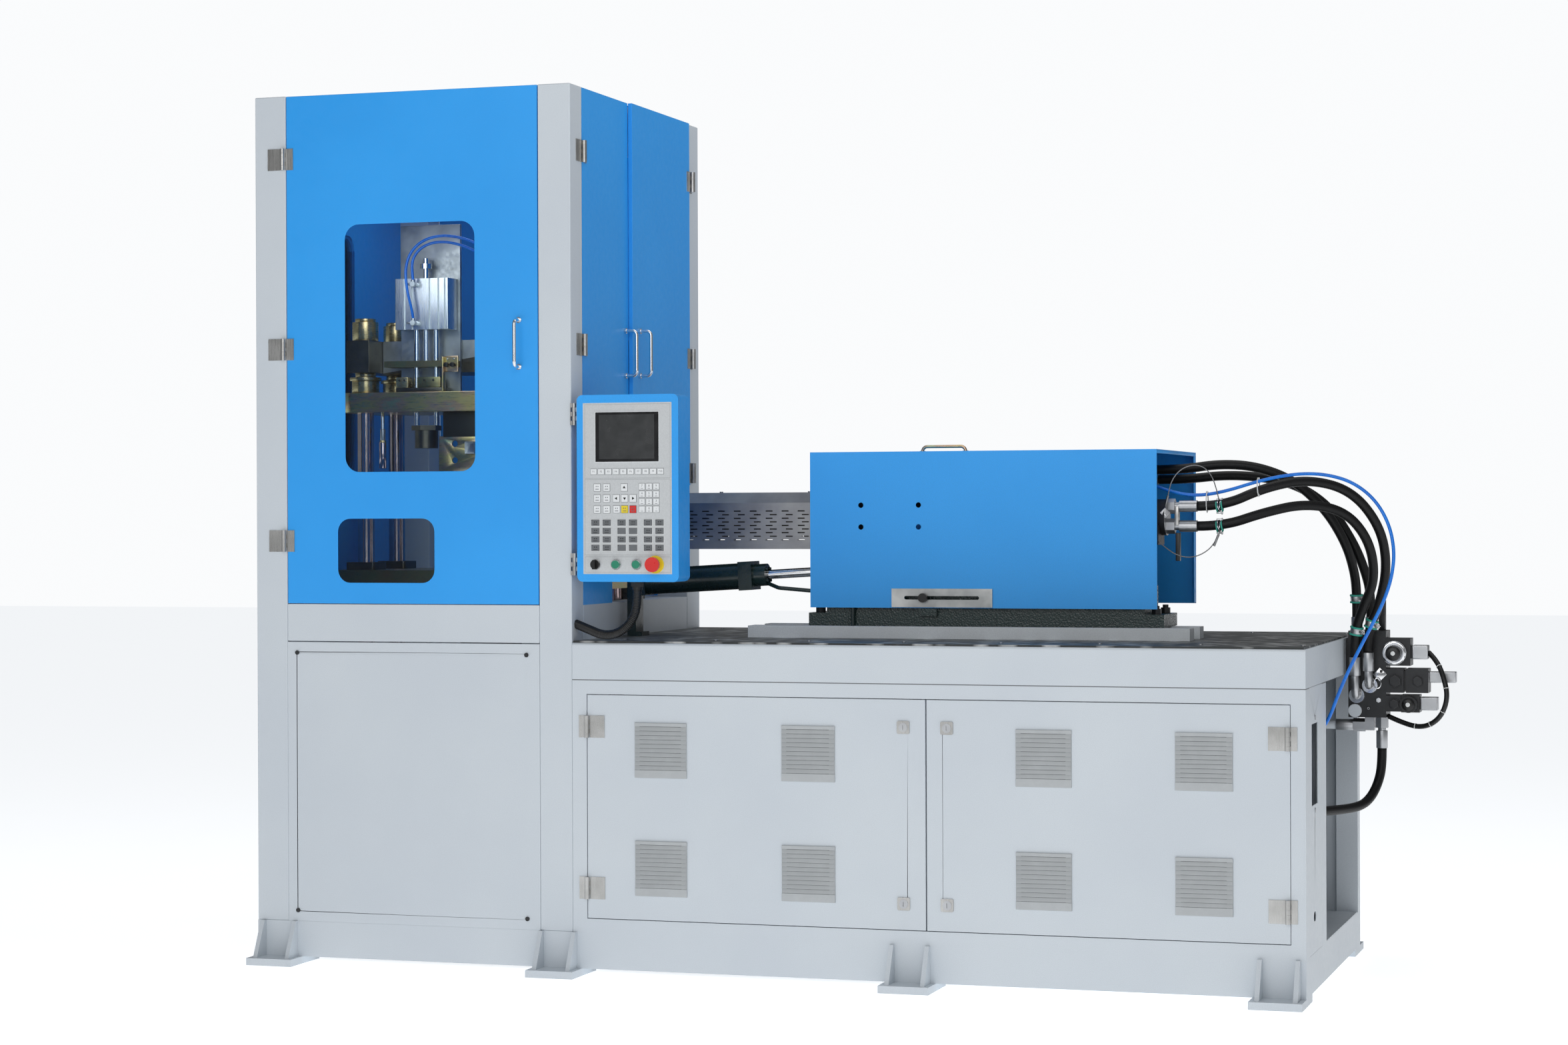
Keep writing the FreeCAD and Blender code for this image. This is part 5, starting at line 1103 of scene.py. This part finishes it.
# ---------------------------------------------------------------- small parts on the valve block
valves = []
for x, z, front, ring in ((3071, 866, 718, 33), (3108, 725, 744, 0)):
    knob = disc("valve_knob", (x, front - 3, z), 20 if ring else 17, 12, (0, -1, 0), black, 40)
    work(knob, lambda p, n: n.y < -0.9, lambda: bpy.ops.mesh.inset(thickness=0.006))
    work(knob, lambda p, n: n.y < -0.9 and (p.x - x) ** 2 + (p.z - z) ** 2 < 4,
         lambda: bpy.ops.transform.translate(value=(0, -0.003, 0)))
    valves.append(ease(knob, 0.6))
    valves.append(ease(disc("knob_button", (x, front - 13, z), 6, 4, (0, -1, 0), white, 24), 0.6))
    if ring:
        valves.append(hoop("knob_collar", (x, 731, z), 26, 6.0, (0, -1, 0), chrome, (1, 0.6, 1)))
for x, z, across, y in ((3071, 788, 17, 752), (3132, 788, 14, 752), (3068, 725, 14, 754)):
    cap = disc("hex_plug", (x, y, z), across, 6, (0, -1, 0), black_metal, 6)
    work(cap, lambda p, n: n.y < -0.9, lambda: bpy.ops.mesh.inset(thickness=0.003))
    valves.append(ease(cap, 0.8))
for x, z, r in ((3026, 735, 7.0), (2998, 712, 5.0)):
    socket = disc("socket_plug", (x, 760.6, z), r, 3.4, (0, -1, 0), black_metal, 24)
    valves.append(ease(socket, 0.6))
    valves.append(hoop("socket_rim", (x, 758.8, z), r * 0.55, 0.8, (0, -1, 0), zinc))
for x, z in ((2967, 748), (3003, 776)):
    valves.append(hoop("elbow_collar", (x, 757, z), 17, 5.0, (0, -1, 0), chrome, (1, 0.8, 1)))
plug_cap = disc("round_plug", (2962, 752, 706), 18, 4, (0, -1, 0), grey, 40)
work(plug_cap, lambda p, n: n.y < -0.9, lambda: bpy.ops.mesh.inset(thickness=0.0015))
valves.append(ease(plug_cap, 0.8))
diamond = ease(disc("hook_plate", (3030, 757, 806), 20, 4, (0.1, -1, 0.05), chrome, 4), 3.0, 3)
valves += [diamond, ease(disc("hook_bolt", (3034, 753, 815), 4.4, 5, (0, -1, 0), black_metal, 6), 0.6),
           hoop("hook", (3024, 750, 782), 12, 1.4, (0.2, -1, 0), chrome, (0.8, 1, 1.2))]
for low, high in (((3116, 772, 848), (3158, 818, 886)), ((3162, 772, 784), (3233, 808, 814)),
                  ((3138, 772, 708), (3184, 810, 744))):
    shell = block("connector", low, high, zinc)
    work(shell, lambda p, n: n.y < -0.9, lambda: bpy.ops.mesh.inset(thickness=0.005))
    work(shell, lambda p, n: n.y < -0.9 and p.x - low[0] > 12 and high[0] - p.x > 12,
         lambda: bpy.ops.transform.translate(value=(0, -0.001, 0)))
    valves.append(ease(shell, 2.0, 3))
bracket = ease(block("hose_bracket", (3018, 826, 925), (3036, 856, 1008), black_metal), 1.5)
valves.append(bracket)
gather("valve_fittings", valves, "black_valve", "machine")

# ---------------------------------------------------------------- parts seen through the tower's windows


def inner_tube(name, route):
    """An air tube of the press cylinder, which has no piece of its own in the frame."""
    lay(name, None, route, 0.004, tubing, "air_tube_plastic", "press", sides=14)


inner_tube("upper_cylinder_tube", [(304, 394, 1932), (300, 392, 1966), (304, 394, 2002), (330, 400, 2032),
                                   (372, 408, 2046), (422, 418, 2042), (476, 430, 2022), (530, 444, 1986),
                                   (574, 458, 1936), (602, 470, 1878), (612, 478, 1808)])
inner_tube("lower_cylinder_tube", [(304, 394, 1820), (301, 389, 1852), (292, 385, 1890), (285, 384, 1932),
                                   (284, 386, 1976), (298, 391, 2018), (332, 398, 2050), (384, 407, 2064),
                                   (440, 417, 2058), (498, 430, 2036), (552, 444, 1998), (598, 458, 1944),
                                   (626, 470, 1880), (636, 478, 1808)])
window_parts = []
for z in (1811, 1923):
    window_parts.append(ease(disc("fitting_body", (304, 394, z), 8, 16, (0, -1, 0), white, 24), 1.2))
    window_parts.append(ease(disc("fitting_throat", (304, 394, z + 8), 6.4, 10, (0, 0, 1), zinc, 24), 1.0))
    window_parts.append(ease(disc("speed_screw", (292, 392, z), 3.6, 16, (1, 0, 0), zinc, 16), 0.6))
window_parts.append(ease(block("tube_block", (598, 462, 1764), (650, 496, 1808), black_metal), 2.0))
window_parts.append(ease(block("switch_leg", (391, 396, 1611), (396, 414, 1712), yellow_zinc), 1.0))
switch_plate = block("switch_plate", (396, 408, 1668), (438, 414, 1714), yellow_zinc)
work(switch_plate, lambda p, n: n.y < -0.9, lambda: bpy.ops.mesh.inset(thickness=0.004))
window_parts.append(ease(switch_plate, 0.8))
for x in (406, 426):
    window_parts.append(ease(disc("switch", (x, 400, 1688), 7, 22, (0, -1, 0), black, 24), 1.4))
    window_parts.append(ease(disc("switch_screw", (x, 406, 1705), 2.6, 4, (0, -1, 0), zinc, 12), 0.4))
window_parts += [ease(block("stripper_foot", (236, 420, 1611.3), (388, 470, 1624), dark_steel), 1.2),
                 ease(block("bronze_spacer", (234, 424, 1624), (272, 456, 1655), brass), 1.2),
                 ease(block("bronze_spacer", (300, 430, 1624), (372, 460, 1655), bronze_green), 1.2)]
for x, y in ((246, 423), (262, 423), (322, 429), (350, 429)):
    window_parts.append(ease(disc("spacer_screw", (x, y, 1646), 3.2, 4, (0, -1, 0), black_metal, 12), 0.4))
gather("table_fittings", window_parts, "zinc_plate", "press")

slim = [ease(disc("slim_rod", (188, 432, 1498), 5, 110, (0, 0, 1), chrome, 20), 0.6),
        ease(disc("slim_fitting", (188, 432, 1488), 8, 34, (0, 0, 1), zinc, 20), 1.5),
        ease(disc("slim_collar", (188, 432, 1468), 10, 8, (0, 0, 1), brass, 6), 1.0),
        ease(disc("slim_guide", (188, 432, 1428), 11, 76, (0, 0, 1), pink_chrome, 24), 2.0)]
gather("slim_guide_rod", slim, "chrome", "press")

hanging = ease(block("clamp_hanger", (380, 430, 1480), (520, 448, 1553), black_metal), 1.5)
plate = block("clamp_plate", (366, 432, 1380), (520, 440, 1482), yellow_zinc)
for x, z in ((416, 1460), (416, 1412), (490, 1436)):
    drill = disc("drill", (x, 436, z), 9, 30, (0, 1, 0), black, 24)
    hole = plate.modifiers.new("hole", "BOOLEAN")
    hole.operation = "DIFFERENCE"
    hole.object = drill
    bpy.context.view_layer.objects.active = plate
    bpy.ops.object.modifier_apply(modifier="hole")
    bpy.data.objects.remove(drill)
jaw = block("clamp_jaw", (452, 420, 1430), (484, 432, 1466), zinc)
work(jaw, lambda p, n: n.y < -0.9, lambda: bpy.ops.mesh.inset(thickness=0.005))
work(jaw, lambda p, n: n.y < -0.9 and abs(p.x - 468) < 8 and abs(p.z - 1448) < 8,
     lambda: bpy.ops.transform.translate(value=(0, 0.004, 0)))
gather("clamp_plate", [ease(plate, 0.6), hanging, ease(jaw, 1.4)], "zinc_plate", "press")

# ---------------------------------------------------------------- floor
deselect()
bpy.ops.mesh.primitive_plane_add(size=60, location=(0, 0, 0))
floor = bpy.context.object
floor.name = "studio_floor"
floor_finish = Coat("studio_floor", (0.80, 0.81, 0.82), 0.55)
floor_finish.put("Roughness", floor_finish.ramp(floor_finish.noise(3, 2), (0.3, 0.5), (0.7, 0.65)))
floor_finish.put("Emission Color", (0.96, 0.98, 1.0, 1))
floor_finish.put("Emission Strength", 0.76)
floor.data.materials.append(floor_finish.material)
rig.stage(floor)

seen_low, seen_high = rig.bounds()
with open("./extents.json", "w") as out:
    json.dump({"cad": [list(cad_low), list(cad_high)], "visual": [list(seen_low), list(seen_high)]}, out)
